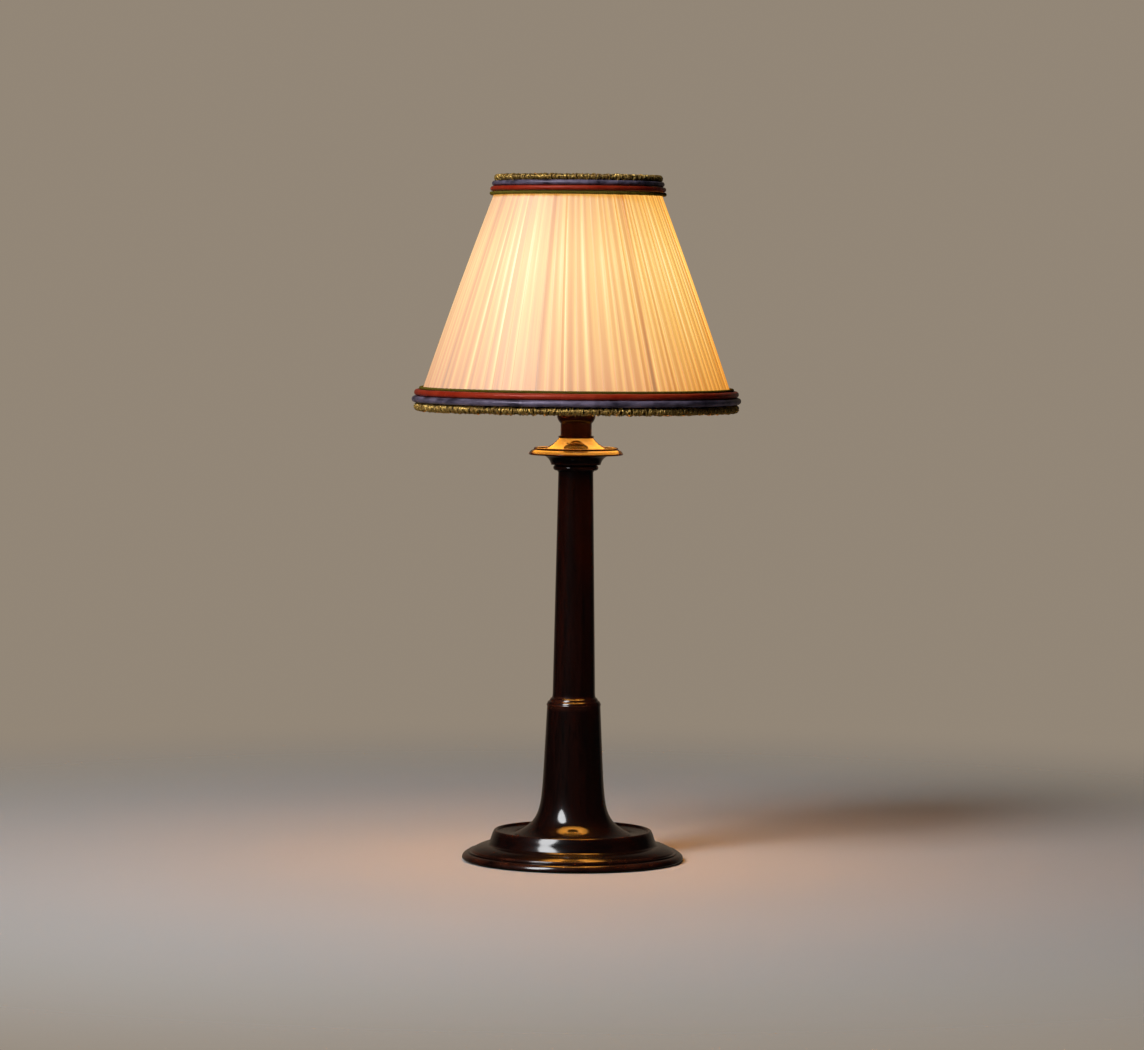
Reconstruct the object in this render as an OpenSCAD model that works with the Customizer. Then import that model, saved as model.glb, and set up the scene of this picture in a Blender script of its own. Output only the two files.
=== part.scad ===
// Turned candlestick table lamp with a pleated silk shade.
// Millimetres, +Z up, origin on the lamp's axis where the foot meets the table. The cord leaves at +Y.

/* [Foot] */
// Diameter across the foot's lowest moulding
foot_d = 160; // [150:1:190]
// Thickness of the baize under the foot
pad_t = 1; // [0.6:0.1:2]
// How far the baize stands in from the foot's edge
pad_inset = 3; // [2:0.5:8]
// Height of the upright toe under the quarter round
toe_h = 0.6; // [0.3:0.1:1.5]
// Radius of the quarter round round the foot
toe_r = 4; // [3:0.1:5]
// Step in from the quarter round to the fillet above it
fillet_step = 0.4; // [0.2:0.1:1]
// Height of the fillet
fillet_h = 1; // [0.6:0.1:1.6]
// Step in from the fillet to the shelf
shelf_step = 2.4; // [1.5:0.1:4]
// Height of the shelf's rounded edge
shelf_h = 1.2; // [0.8:0.1:1.6]
// Width of the shelf between its edge and the cove
shelf_w = 10.1; // [8:0.1:12]
// Slope of the shelf up to the cove, in degrees
shelf_slope = 20; // [12:1:24]
// Radius of the cove at the bottom of the drum
cove_r = 4; // [2:0.1:5]
// Lean of the drum's wall from upright, in degrees
drum_lean = 22; // [12:1:28]
// Height of the drum's rim above the table
rim_z = 22; // [20:0.5:28]
// Radius of the rounded rim
rim_r = 1.5; // [0.8:0.1:2]
// Depth of the dish inside the rim
dish_depth = 3; // [2:0.1:4]
// Flat of the dish between the stem's flare and the rim's inner curve
dish_flat = 2; // [1:0.1:4]
// Thickness of the foot between the dish and the recess under it
floor_t = 2.8; // [2.2:0.1:4]
// Diameter of the recess under the foot
recess_d = 44; // [40:1:60]
// Height of the cord hole's axis above the table
cord_z = 13.2; // [12:0.1:13.6]
// Diameter of the cord hole inside the foot
cord_hole_d = 4.6; // [3.8:0.1:5]
// Outside diameter of the cord bush
bush_d = 5.6; // [5:0.1:6]
// Bore of the cord bush
bush_bore = 4.2; // [3.4:0.1:4.4]
// Length of the cord bush
bush_len = 14; // [8:0.5:20]
// How far the cord bush stands out past the foot of the cove
bush_proud = 4.8; // [3.5:0.1:6]

/* [Stem] */
// Height of the lower stem, from the dish to the top of its shoulder
lower_h = 99; // [80:0.2:130]
// Diameter of the lower stem under its shoulder
lower_d = 38.5; // [34:0.1:42]
// Diameter that the lower stem's straight taper reaches at the dish
lower_foot_d = 47.4; // [42:0.1:52]
// How far the flare spreads beyond the taper at the dish
flare_w = 19.7; // [12:0.1:20]
// Height in which the flare falls to about a third
flare_fall = 7.6; // [5:0.1:10]
// Thickness of the flare's edge on the dish
flare_edge = 0.5; // [0.4:0.1:1]
// Height of the shoulder's two rounds
shoulder_h = 4.6; // [3.5:0.1:6]
// Height of the lip under the shoulder
lip_h = 1.2; // [0.8:0.1:2]
// Diameter of the shoulder's top
shoulder_d = 31.4; // [31:0.1:33]
// Height of the upper stem
upper_h = 163.2; // [120:0.2:220]
// Diameter of the upper stem at its bottom
upper_foot_d = 30.6; // [27:0.1:31]
// Diameter of the upper stem at its top
upper_top_d = 25.2; // [23:0.1:26]
// Height in which the upper stem spreads at its bottom
upper_flare_h = 4; // [2:0.1:8]
// Height of the capital
capital_h = 11.2; // [10:0.1:14]
// Height of the capital's neck under its bead
capital_neck_h = 0.8; // [0.5:0.1:1.5]
// Diameter across the capital's bead
bead_d = 32.6; // [29:0.1:34]
// Height of the capital's bead
bead_h = 4; // [3:0.1:5]
// Diameter of the fillet over the bead
bead_fillet_d = 35.9; // [34:0.1:38]
// Height of the fillet over the bead
bead_fillet_h = 0.9; // [0.6:0.1:1.5]
// Diameter of the capital's top, under the pan
capital_d = 45.4; // [42:0.1:50]

/* [Drip pan and nozzle] */
// Diameter of the drip pan
pan_d = 68; // [64:0.5:80]
// Diameter of the pan's lip, at the top of its bevel
pan_lip_d = 60.8; // [56:0.2:62]
// Height of the lip above the capital
pan_lip_h = 6.1; // [5:0.1:8]
// Width of the lip
pan_lip_w = 1; // [0.6:0.1:1.6]
// Height of the lip's upright face over the bevel
pan_lip_face = 0.9; // [0.4:0.1:1.4]
// Rise of the pan's underside from the capital to its edge
pan_rise = 1.5; // [0.5:0.1:2.5]
// Thickness of the pan's edge
pan_edge = 1; // [0.6:0.1:1.6]
// Diameter of the pan's cone at its bottom
cone_d = 40.4; // [34:0.2:46]
// Diameter of the pan's cone at its top
cone_top_d = 24.6; // [24:0.1:28]
// Height of the cone's top above the capital
cone_h = 13.3; // [11:0.1:18]
// Diameter of the thin disc on the cone
disc_d = 25.4; // [25:0.1:30]
// Thickness of the thin disc
disc_h = 1.2; // [0.8:0.1:2]
// Height of the nozzle
nozzle_h = 23.7; // [20:0.1:40]
// Diameter of the nozzle's neck
neck_d = 22.4; // [20.5:0.1:24]
// Height of the nozzle's neck
neck_h = 9; // [7:0.1:14]
// Diameter of the nozzle's cup
cup_d = 27.6; // [27:0.1:34]
// Height of the curve from the neck to the cup
cup_rise = 4.6; // [3:0.1:8]
// Bevel round the top of the cup
cup_bevel = 1; // [0.4:0.1:1.4]

/* [Tie rod] */
// Outside diameter of the threaded tube
tube_d = 10; // [8:0.1:10]
// Bore of the threaded tube
tube_bore = 6.8; // [5:0.1:7]
// Diameter of the glued spigots of the stem
spigot_d = 17; // [15.5:0.1:18]
// Length of the glued spigots of the stem
spigot_len = 8; // [6:0.1:9]
// Diameter of the lower stem's spigot in the foot
foot_spigot_d = 28; // [22:0.5:30]
// Diameter of the drip pan's spigot in the nozzle
neck_spigot_d = 15; // [13:0.1:16]
// Diameter of the washer under the foot
washer_d = 38; // [34:0.5:39]
// Thickness of the washer under the foot
washer_t = 1.6; // [1:0.1:2]
// Nut, across its flats
nut_af = 17; // [15:0.5:19]
// Height of the nut
nut_h = 6; // [4:0.1:6.5]
// Length of tube below the nut
tube_end = 1; // [0.5:0.1:2]
// Diameter of the brass washer on the nozzle
neck_washer_d = 25; // [22:0.1:27]
// Thickness of the brass washer on the nozzle
neck_washer_t = 1.2; // [0.8:0.1:2]

/* [Lampholder] */
// Diameter of the lampholder's cap
cap_d = 33; // [32:0.1:36]
// Height of the lampholder's cap
cap_h = 30; // [29:0.1:36]
// Wall of the lampholder's cap
cap_wall = 1.2; // [1:0.1:1.4]
// Diameter of the cap's threaded collar
collar_d = 17; // [15:0.1:18]
// Height of the cap's threaded collar
collar_h = 7; // [6:0.1:8]
// Diameter of the locking screw in the collar
lock_d = 3; // [2:0.1:3.5]
// How far the locking screw stands out of the collar
lock_proud = 0.6; // [0.2:0.1:1]
// Thickness of the core's flange
flange_t = 1.5; // [1:0.1:2]
// Height of the core's boss above its flange
boss_h = 4.3; // [3.5:0.1:5]
// Length of the core inside the cap
core_len = 14; // [13:0.1:14.5]
// Length of skirt that screws over the cap
sleeve_len = 5; // [4:0.1:6]
// Wall of the skirt where it screws over the cap
sleeve_wall = 1.2; // [1:0.1:2]
// Thickness of the skirt's ledge over the core
ledge_t = 1.3; // [1:0.1:2]
// Length of the skirt's barrel
barrel_len = 24; // [20:0.1:30]
// Wall of the skirt's barrel
barrel_wall = 2.6; // [2.2:0.1:3]
// Diameter of the terminal screws
terminal_d = 2.4; // [2:0.1:3]
// Length of the terminal screws in the core
terminal_len = 4; // [3:0.1:5]
// Diameter of the push bar
bar_d = 5.6; // [4.5:0.1:6]
// Length of the push bar
bar_len = 50; // [48:0.5:60]
// Travel of the push bar
bar_travel = 6; // [4:0.1:8]
// Width of the groove round the middle of the push bar
bar_groove_w = 3; // [2:0.1:5]
// Depth of the groove round the middle of the push bar
bar_groove = 0.6; // [0.3:0.1:1]
// Height of the push bar's axis above the bottom of the cap
bar_rise = 20.8; // [19.5:0.1:21]
// Distance of each contact from the axis
contact_y = 5.2; // [4.8:0.1:6]
// Diameter of the contact plungers
plunger_d = 3.8; // [3:0.1:4]
// Length of the contact plungers
plunger_len = 10; // [8:0.1:11]
// How far the plungers stand out of the core
plunger_proud = 3.4; // [3:0.1:4]
// Travel left to the plungers under a fitted bulb
press_travel = 2; // [1:0.1:2.4]
// Wire of the plunger springs
spring_wire = 0.5; // [0.4:0.05:0.6]
// Length of the plunger springs under a fitted bulb
spring_len = 5; // [4.5:0.1:6]
// Turns of the plunger springs
spring_turns = 4; // [3:1:4]
// Diameter of the two shade rings
shade_ring_d = 36; // [34:0.5:38]
// Height of the lower shade ring
ring_low_h = 3; // [2:0.1:4]
// Height of the upper shade ring
ring_up_h = 4.4; // [3:0.1:4.6]
// Number of grip flutes on a shade ring
flutes = 18; // [12:1:24]
// Diameter of the grip flutes
flute_d = 1.8; // [1:0.1:2.4]

/* [Bulb] */
// Diameter of the bulb's bayonet cap
bulb_cap_d = 22; // [21:0.1:23]
// Length of the bulb's bayonet cap
bulb_cap_h = 24; // [22:0.1:26]
// Wall of the bulb's bayonet cap
bulb_cap_wall = 0.5; // [0.3:0.1:0.6]
// Thickness of the black seal in the bulb's cap
seal_h = 1.8; // [1.4:0.1:2.4]
// Height of the bevel round the seal
seal_bevel = 0.8; // [0.4:0.1:1]
// Diameter of the bulb's two contacts
contact_d = 4.8; // [4:0.1:5.4]
// Height of the bulb's two contacts
contact_h = 0.6; // [0.4:0.1:1]
// Diameter of the bayonet pins
pin_d = 2; // [1.5:0.1:2.2]
// Height of the bayonet pins above the bulb's bottom
pin_rise = 6.7; // [6.5:0.1:8]
// Turn that locks the bulb, in degrees
bayonet_turn = 25; // [18:1:30]
// Diameter of the bulb's round glass
globe_d = 45; // [40:0.5:50]
// Length of the bulb
bulb_len = 76; // [70:0.5:84]
// Thickness of the bulb's glass
glass_t = 0.8; // [0.6:0.1:1]
// Height of the glass's neck above the bulb's bottom
glass_seat = 14; // [12:0.1:16]
// Angle below the globe's middle at which its neck begins
globe_join = 40; // [35:1:45]
// Height of the glass mount above the bulb's cap
mount_rise = 12; // [8:0.1:14]
// Diameter of the glass mount's post
mount_d = 5.2; // [4:0.1:6]
// Half the length of the filament
filament_half = 8; // [6:0.1:10]

/* [Shade] */
// Diameter of the frame's bottom ring, to the middle of its wire
bottom_ring_d = 219.6; // [200:0.2:240]
// Diameter of the frame's top ring, to the middle of its wire
top_ring_d = 108.4; // [100:0.2:120]
// Height of the frame, from ring to ring
frame_h = 155.2; // [140:0.2:175]
// Height of the top ring above the carrier ring
shade_drop = 118; // [110:0.1:130]
// Wire of the two rings
ring_wire = 3; // [2.5:0.1:4]
// Wire of the struts
strut_wire = 2.4; // [2:0.1:2.6]
// Number of struts
struts = 8; // [4:1:8]
// Direction of the first strut
strut_turn = 30; // [24:1:36]
// Number of the carrier's arms
arms = 3; // [3:1:4]
// Direction of the first arm
arm_turn = 97.5; // [94:0.5:101]
// Wire of the carrier's arms
arm_wire = 2.8; // [2.4:0.1:3]
// Diameter of the carrier ring
carrier_d = 46; // [44:0.5:50]
// Thickness of the carrier ring
carrier_t = 1.6; // [1:0.1:2]
// Thickness of the lining
lining_t = 0.5; // [0.4:0.1:0.8]
// Thickness of the silk
silk_t = 0.5; // [0.4:0.1:0.8]
// Depth of the pleats
pleat_depth = 1.3; // [0.8:0.1:2]
// Number of pleats
pleats = 96; // [60:1:100]
// Share of a pleat that its short face takes
pleat_lean = 0.34; // [0.25:0.01:0.5]
// How far the silk bows out at half its height
silk_bow = 1.1; // [0:0.1:2]
// How far the cloth runs past the middle of each ring
cloth_over = 1.7; // [1:0.1:2]

/* [Trims] */
// Diameter of the thin green cord at the bottom
green_low_d = 2.4; // [1.2:0.1:2.8]
// Diameter of the thin green cord at the top
green_top_d = 2.8; // [1.4:0.1:3.2]
// Diameter of the red piping at the bottom
red_low_d = 4.8; // [4:0.1:6]
// Diameter of the blue piping at the bottom
blue_low_d = 4.8; // [4:0.1:6]
// Diameter of the gold braid at the bottom
gold_low_d = 5.8; // [4:0.1:7]
// Diameter of the red piping at the top
red_top_d = 3.6; // [3:0.1:5]
// Diameter of the blue piping at the top
blue_top_d = 3.8; // [3:0.1:5]
// Diameter of the gold braid at the top
gold_top_d = 4.8; // [4:0.1:6]
// How far the blue piping lies outside the bottom ring, along the slope
blue_low_s = 1.4; // [0.5:0.1:2]
// How far the blue piping lies inside the top ring, along the slope
blue_top_s = 1.4; // [0.5:0.1:2]
// Angle by which the bottom braid is tucked under the piping
tuck_low = 8; // [0:1:20]
// Angle by which the top braid is tucked in over the piping
tuck_top = 28; // [10:1:40]

/* [Hidden] */
$fn = 96;

// Clearances: glued and screwed fits, sliding fits, faces that part, cement, open gaps, bulb and spigot ends
glue_gap = 0.05;
run_gap = 0.08;
seat_gap = 0.1;
cement_gap = 0.2;
air_gap = 0.3;
bulb_gap = 0.4;
end_gap = 0.5;
// Clearances of the cloth and of the trims on it
cloth_gap = 0.3;
trim_gap = 0.4;
// How far a tool runs past the face that it cuts
cut = 1;
// Small step between two mouldings, and the swell of a small round
quirk = 0.2;
swell = 0.4;

// Foot, from the outside in and from the table up
foot_r = foot_d / 2;
toe_top_z = pad_t + toe_h + toe_r;
fillet_r = foot_r - toe_r - fillet_step;
fillet_top_z = toe_top_z + fillet_h;
shelf_r = fillet_r - shelf_step;
shelf_top = [shelf_r - shelf_h * (1 - sin(shelf_slope)), fillet_top_z + shelf_h * cos(shelf_slope)];
cove_foot = shelf_top + shelf_w * [-1, tan(shelf_slope)];
cove_mid = cove_foot + cove_r * [sin(shelf_slope), cos(shelf_slope)];
drum_foot = cove_mid - cove_r * [cos(drum_lean), sin(drum_lean)];
drum_top_z = rim_z - rim_r * (1 - sin(drum_lean));
rim_mid_r = drum_foot.x - (drum_top_z - drum_foot.y) * tan(drum_lean) - rim_r * cos(drum_lean);
floor_z = rim_z - dish_depth;
ceiling_z = floor_z - floor_t;
tube_hole_r = tube_d / 2 + glue_gap;
bush_end_y = cove_foot.x + bush_proud;

// Stem levels
flare_r = lower_foot_d / 2 + flare_w * exp(-flare_edge / flare_fall);
shoulder_z = floor_z + lower_h;
lip_z = shoulder_z - shoulder_h - lip_h;
capital_z = shoulder_z + upper_h;
pan_z = capital_z + capital_h;
nozzle_z = pan_z + cone_h + disc_h;
neck_top_z = nozzle_z + nozzle_h;
dish_edge_r = flare_r + dish_flat;

// Lampholder levels
holder_z = neck_top_z + neck_washer_t;
collar_top_z = holder_z + collar_h;
dome_r = (cap_d - collar_d) / 2;
dome_z = collar_top_z + dome_r;
cap_rim_z = holder_z + cap_h;
cap_in_r = cap_d / 2 - cap_wall;
core_r = cap_in_r - air_gap;
core_z = cap_rim_z - core_len;
flange_z = cap_rim_z + flange_t;
boss_z = flange_z + boss_h;
barrel_z = flange_z + ledge_t;
barrel_top_z = barrel_z + barrel_len;
barrel_in_r = bulb_cap_d / 2 + bulb_gap;
barrel_r = barrel_in_r + barrel_wall;
sleeve_in_r = cap_d / 2 + glue_gap;
tube_top_z = collar_top_z + cap_wall + tube_end;
bar_z = holder_z + bar_rise;
tip_z = boss_z + plunger_proud;
plunger_z = tip_z - plunger_len;
spring_z = plunger_z - spring_len;
spring_r = plunger_d / 2 - spring_wire;
lock_z = holder_z + collar_h / 2;
terminal_y = 2 * contact_y;
terminal_r = terminal_d / 2;
screw_slot_w = 0.6;
screw_slot_depth = 0.7;

// Bulb levels
contact_z = tip_z + seat_gap;
bulb_z = contact_z + contact_h;
pin_z = bulb_z + pin_rise;
pin_reach = barrel_r - air_gap;
cap_top_z = bulb_z + bulb_cap_h;
globe_r = globe_d / 2;
globe_z = bulb_z + bulb_len - globe_r;
glass_neck_r = bulb_cap_d / 2 - bulb_cap_wall - cement_gap;
glass_neck_z = bulb_z + glass_seat;
glass_floor_z = glass_neck_z + glass_t;
stem_top_z = cap_top_z + mount_rise;

// Shade levels and its cone
carrier_z = barrel_z + ring_low_h;
carrier_top_z = carrier_z + carrier_t;
top_ring_z = carrier_top_z + shade_drop;
bottom_ring_z = top_ring_z - frame_h;
top_ring_r = top_ring_d / 2;
bottom_ring_r = bottom_ring_d / 2;
cone_a = atan((bottom_ring_r - top_ring_r) / frame_h);
ring_skin = ring_wire / 2 + cloth_gap;
silk_skin = ring_skin + silk_t + pleat_depth;
arm_foot_r = (shade_ring_d + carrier_d) / 4;
arm_head_r = top_ring_r - (ring_wire + arm_wire) / 2 - glue_gap;
lining_top_z = top_ring_z - ring_wire / 2 - 2 * cloth_gap;

// Points of a round from p to q that swells by b to the left of the way from p to q
function round_off(p, q, b, n = 10) =
    [for (i = [0:n]) let (t = i / n, d = q - p) p + t * d + 4 * t * (1 - t) * b * [-d.y, d.x] / norm(d)];
// Points of an arc about c
function arc(c, r, a0, a1, n = 10) =
    [for (i = [0:n]) let (a = a0 + (a1 - a0) * i / n) c + r * [cos(a), sin(a)]];
// Radius of the lower stem at a height above the dish
function stem_r(h) = (lower_d + (lower_foot_d - lower_d) * (1 - h / (lip_z - floor_z))) / 2
    + flare_w * exp(-h / flare_fall);
// Radius of the shade's cone at a height, moved outwards square to its slope
function skin_r(z, off) =
    bottom_ring_r + (top_ring_r - bottom_ring_r) * (z - bottom_ring_z) / frame_h + off / cos(cone_a);
// Point beside a ring of the frame, s along the slope upwards and d square to it
function on_slope(ring, s, d) = ring + s * [-sin(cone_a), cos(cone_a)] + d * [cos(cone_a), sin(cone_a)];
// Step along the slope between two cords that lie side by side
function cord_step(d1, d2) = sqrt(pow((d1 + d2) / 2 + cloth_gap, 2) - pow((d1 - d2) / 2, 2));
// Middle of a cord that lies on the silk
function on_silk(ring, s, d) = on_slope(ring, s, silk_skin + trim_gap + d / 2);

bottom_ring = [bottom_ring_r, bottom_ring_z];
top_ring = [top_ring_r, top_ring_z];
red_low_s = cord_step(blue_low_d, red_low_d) - blue_low_s;
green_low_s = red_low_s + cord_step(red_low_d, green_low_d);
red_top_s = -blue_top_s - cord_step(blue_top_d, red_top_d);
green_top_s = red_top_s - cord_step(red_top_d, green_top_d);
blue_low = on_silk(bottom_ring, -blue_low_s, blue_low_d);
blue_top = on_silk(top_ring, -blue_top_s, blue_top_d);
gold_low = blue_low - ((blue_low_d + gold_low_d) / 2 + cloth_gap) * [sin(tuck_low), cos(tuck_low)];
gold_top = blue_top + ((blue_top_d + gold_top_d) / 2 + cloth_gap) * [-sin(tuck_top), cos(tuck_top)];

// Solid turned from an outline that starts and ends on the axis
module turned(outline) {
    rotate_extrude() polygon(outline);
}

// Upright bore for the tube between two heights
module tube_hole(z0, z1) {
    translate([0, 0, z0]) cylinder(r = tube_hole_r, h = z1 - z0);
}

// Blind socket for a spigot, open at the height z, going up or down
module socket(d, z, up) {
    depth = spigot_len + end_gap;
    translate([0, 0, up ? z - cut : z - depth]) cylinder(r = d / 2 + glue_gap, h = depth + cut);
}

// Spigot that stands on or hangs from the height z
module spigot(d, z, up) {
    translate([0, 0, up ? z - cut : z - spigot_len]) cylinder(d = d, h = spigot_len + cut);
}

// Flat washer with a bore for the tube
module washer(d, z, t) {
    difference() {
        translate([0, 0, z]) cylinder(d = d, h = t);
        tube_hole(z - cut, z + t + cut);
    }
}

// Round cord laid in a ring through the point p of the lamp's section
module cord_ring(p, d) {
    rotate_extrude() translate(p) circle(d = d, $fn = 32);
}

module baize_pad() {
    color("darkgreen") cylinder(r = foot_r - pad_inset, h = pad_t);
}

module base_foot() {
    outline = concat(
        [[0, pad_t], [foot_r - toe_h, pad_t], [foot_r, pad_t + toe_h]],
        arc([foot_r - toe_r, pad_t + toe_h], toe_r, 0, 90),
        [[fillet_r, toe_top_z], [fillet_r, fillet_top_z], [shelf_r, fillet_top_z]],
        arc([shelf_r - shelf_h, fillet_top_z], shelf_h, 0, 90 - shelf_slope, 6),
        arc(cove_mid, cove_r, 270 - shelf_slope, 180 + drum_lean),
        arc([rim_mid_r, rim_z - rim_r], rim_r, drum_lean, 180),
        round_off([rim_mid_r - rim_r, rim_z - rim_r], [dish_edge_r, floor_z], swell),
        [[0, floor_z]]);
    color([0.16, 0.07, 0.05]) difference() {
        turned(outline);
        translate([0, 0, pad_t - cut]) cylinder(d = recess_d, h = ceiling_z - pad_t + cut);
        translate([0, 0, ceiling_z - cut]) cylinder(r = foot_spigot_d / 2 + glue_gap, h = floor_t + 2 * cut);
        translate([0, recess_d / 2 - cut, cord_z]) rotate([-90, 0, 0])
            cylinder(d = cord_hole_d, h = cove_foot.x - recess_d / 2);
        translate([0, bush_end_y - bush_len, cord_z]) rotate([-90, 0, 0])
            cylinder(r = bush_d / 2 + glue_gap, h = foot_r);
    }
}

module cord_bush() {
    color("goldenrod") translate([0, bush_end_y - bush_len, cord_z]) rotate([-90, 0, 0]) difference() {
        cylinder(d = bush_d, h = bush_len);
        translate([0, 0, -cut]) cylinder(d = bush_bore, h = bush_len + 2 * cut);
    }
}

module tie_washer() {
    color("silver") washer(washer_d, ceiling_z - washer_t, washer_t);
}

module tie_nut() {
    z = ceiling_z - washer_t - nut_h;
    color("silver") difference() {
        translate([0, 0, z]) cylinder(d = nut_af / cos(30), h = nut_h, $fn = 6);
        tube_hole(z - cut, z + nut_h + cut);
    }
}

module tie_tube() {
    z = ceiling_z - washer_t - nut_h - tube_end;
    color("goldenrod") translate([0, 0, z]) difference() {
        cylinder(d = tube_d, h = tube_top_z - z);
        translate([0, 0, -cut]) cylinder(d = tube_bore, h = tube_top_z - z + 2 * cut);
    }
}

module lower_stem() {
    rings = 28;
    lip_r = lower_d / 2 + quirk;
    mid = [(lip_r + shoulder_d / 2 + quirk) / 2, shoulder_z - shoulder_h / 2];
    flare = [for (i = [0:rings]) let (h = flare_edge + (lip_z - floor_z - flare_edge) * pow(i / rings, 2))
        [stem_r(h), floor_z + h]];
    outline = concat(
        [[0, floor_z], [flare_r, floor_z]],
        flare,
        round_off([lip_r, lip_z], [lip_r, lip_z + lip_h], -quirk, 6),
        round_off([lip_r - quirk, lip_z + lip_h], mid, -swell, 6),
        round_off(mid - [quirk, 0], [shoulder_d / 2, shoulder_z], -swell, 6),
        [[0, shoulder_z]]);
    color([0.14, 0.06, 0.045]) difference() {
        union() {
            turned(outline);
            translate([0, 0, ceiling_z]) cylinder(d = foot_spigot_d, h = floor_t + cut);
        }
        tube_hole(ceiling_z - cut, shoulder_z + cut);
        socket(spigot_d, shoulder_z, false);
    }
}

module upper_stem() {
    low = [upper_foot_d / 2 + swell, shoulder_z];
    outline = concat(
        [[0, shoulder_z]],
        round_off(low, [upper_foot_d / 2, shoulder_z + upper_flare_h], quirk / 2, 6),
        [[upper_top_d / 2, capital_z], [0, capital_z]]);
    color([0.14, 0.06, 0.045]) difference() {
        union() {
            turned(outline);
            spigot(spigot_d, shoulder_z, false);
            spigot(spigot_d, capital_z, true);
        }
        tube_hole(shoulder_z - spigot_len - cut, capital_z + spigot_len + cut);
    }
}

module capital() {
    bottom_r = upper_top_d / 2 + swell + quirk;
    bead_z = capital_z + capital_neck_h;
    step_z = bead_z + bead_h + quirk;
    step_top_z = step_z + bead_fillet_h;
    bead_in_r = bead_d / 2 - bead_h / 2;
    step_r = bead_fillet_d / 2;
    outline = concat(
        [[0, capital_z], [bottom_r, capital_z], [bottom_r, bead_z]],
        arc([bead_in_r, bead_z + bead_h / 2], bead_h / 2, -90, 90),
        [[bead_in_r, step_z], [step_r, step_z], [step_r, step_top_z]],
        round_off([step_r + quirk, step_top_z], [capital_d / 2, pan_z], 2 * swell),
        [[0, pan_z]]);
    color([0.14, 0.06, 0.045]) difference() {
        turned(outline);
        tube_hole(capital_z - cut, pan_z + cut);
        socket(spigot_d, capital_z, true);
    }
}

module drip_pan() {
    edge_r = pan_edge / 2;
    edge = [pan_d / 2 - edge_r, pan_z + pan_rise + edge_r];
    round_r = pan_lip_w / 2;
    lip = [pan_lip_d / 2 - round_r, pan_z + pan_lip_h - round_r];
    bevel_top = lip + [round_r, -pan_lip_face];
    cone_foot = [cone_d / 2, pan_z + pan_lip_h + swell + quirk];
    outline = concat(
        [[0, pan_z]],
        round_off([capital_d / 2, pan_z], edge - [0, edge_r], swell, 6),
        arc(edge, edge_r, -90, 30, 6),
        round_off(edge + edge_r * [cos(60), 1], bevel_top + [quirk, 0], -swell, 6),
        [bevel_top],
        arc(lip, round_r, 0, 180, 6),
        round_off(lip - [round_r, swell], cone_foot, 2 * swell),
        round_off(cone_foot, [cone_top_d / 2, pan_z + cone_h], swell),
        [[disc_d / 2, pan_z + cone_h], [disc_d / 2, nozzle_z], [0, nozzle_z]]);
    color([0.16, 0.07, 0.05]) difference() {
        union() {
            turned(outline);
            spigot(neck_spigot_d, nozzle_z, true);
        }
        tube_hole(pan_z - cut, nozzle_z + spigot_len + cut);
    }
}

module nozzle() {
    neck_z = nozzle_z + neck_h;
    neck_r = neck_d / 2;
    cup_r = cup_d / 2;
    outline = concat(
        [[0, nozzle_z], [neck_r, nozzle_z]],
        round_off([neck_r, neck_z], [cup_r, neck_z + cup_rise], -swell),
        [[cup_r, neck_top_z - cup_bevel], [cup_r - cup_bevel, neck_top_z], [0, neck_top_z]]);
    color([0.2, 0.07, 0.04]) difference() {
        turned(outline);
        tube_hole(nozzle_z - cut, neck_top_z + cut);
        socket(neck_spigot_d, nozzle_z, true);
    }
}

module neck_washer() {
    color("goldenrod") washer(neck_washer_d, neck_top_z, neck_washer_t);
}

module holder_cap() {
    outer = concat(
        [[0, holder_z], [collar_d / 2, holder_z], [collar_d / 2, collar_top_z]],
        arc([collar_d / 2, dome_z], dome_r, -90, 0),
        [[cap_d / 2, cap_rim_z], [0, cap_rim_z]]);
    inner = concat(
        [[0, collar_top_z + cap_wall]],
        arc([collar_d / 2, dome_z], dome_r - cap_wall, -90, 0),
        [[cap_in_r, cap_rim_z + cut], [0, cap_rim_z + cut]]);
    color("goldenrod") difference() {
        turned(outer);
        turned(inner);
        tube_hole(holder_z - cut, collar_top_z + cap_wall + cut);
        translate([0, 0, bar_z]) rotate([0, 90, 0])
            cylinder(r = bar_d / 2 + air_gap, h = cap_d + cut, center = true);
        translate([0, 0, lock_z]) rotate([-90, 0, 0]) cylinder(r = lock_d / 2 + glue_gap, h = collar_d);
    }
}

module locking_screw() {
    start = tube_hole_r + glue_gap;
    end = collar_d / 2 + lock_proud;
    slot = [lock_d + cut, 2 * screw_slot_depth, screw_slot_w];
    color("silver") translate([0, 0, lock_z]) difference() {
        translate([0, start, 0]) rotate([-90, 0, 0]) cylinder(d = lock_d, h = end - start);
        translate([0, end, 0]) cube(slot, center = true);
    }
}

module holder_core() {
    spring_hole_z = spring_z - seat_gap;
    color("saddlebrown") difference() {
        union() {
            translate([0, 0, core_z]) cylinder(r = core_r, h = core_len + cut);
            translate([0, 0, cap_rim_z]) cylinder(d = cap_d, h = flange_t);
            translate([0, 0, cap_rim_z]) cylinder(r = barrel_in_r - air_gap, h = boss_z - cap_rim_z);
        }
        translate([0, 0, bar_z]) rotate([0, 90, 0])
            cylinder(r = bar_d / 2 + run_gap, h = cap_d, center = true);
        for (y = [-contact_y, contact_y]) translate([0, y, spring_hole_z])
            cylinder(r = plunger_d / 2 + run_gap, h = boss_z - spring_hole_z + cut);
        for (y = [-terminal_y, terminal_y]) translate([0, y, core_z - cut])
            cylinder(r = terminal_r + glue_gap, h = terminal_len + cut);
    }
}

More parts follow.
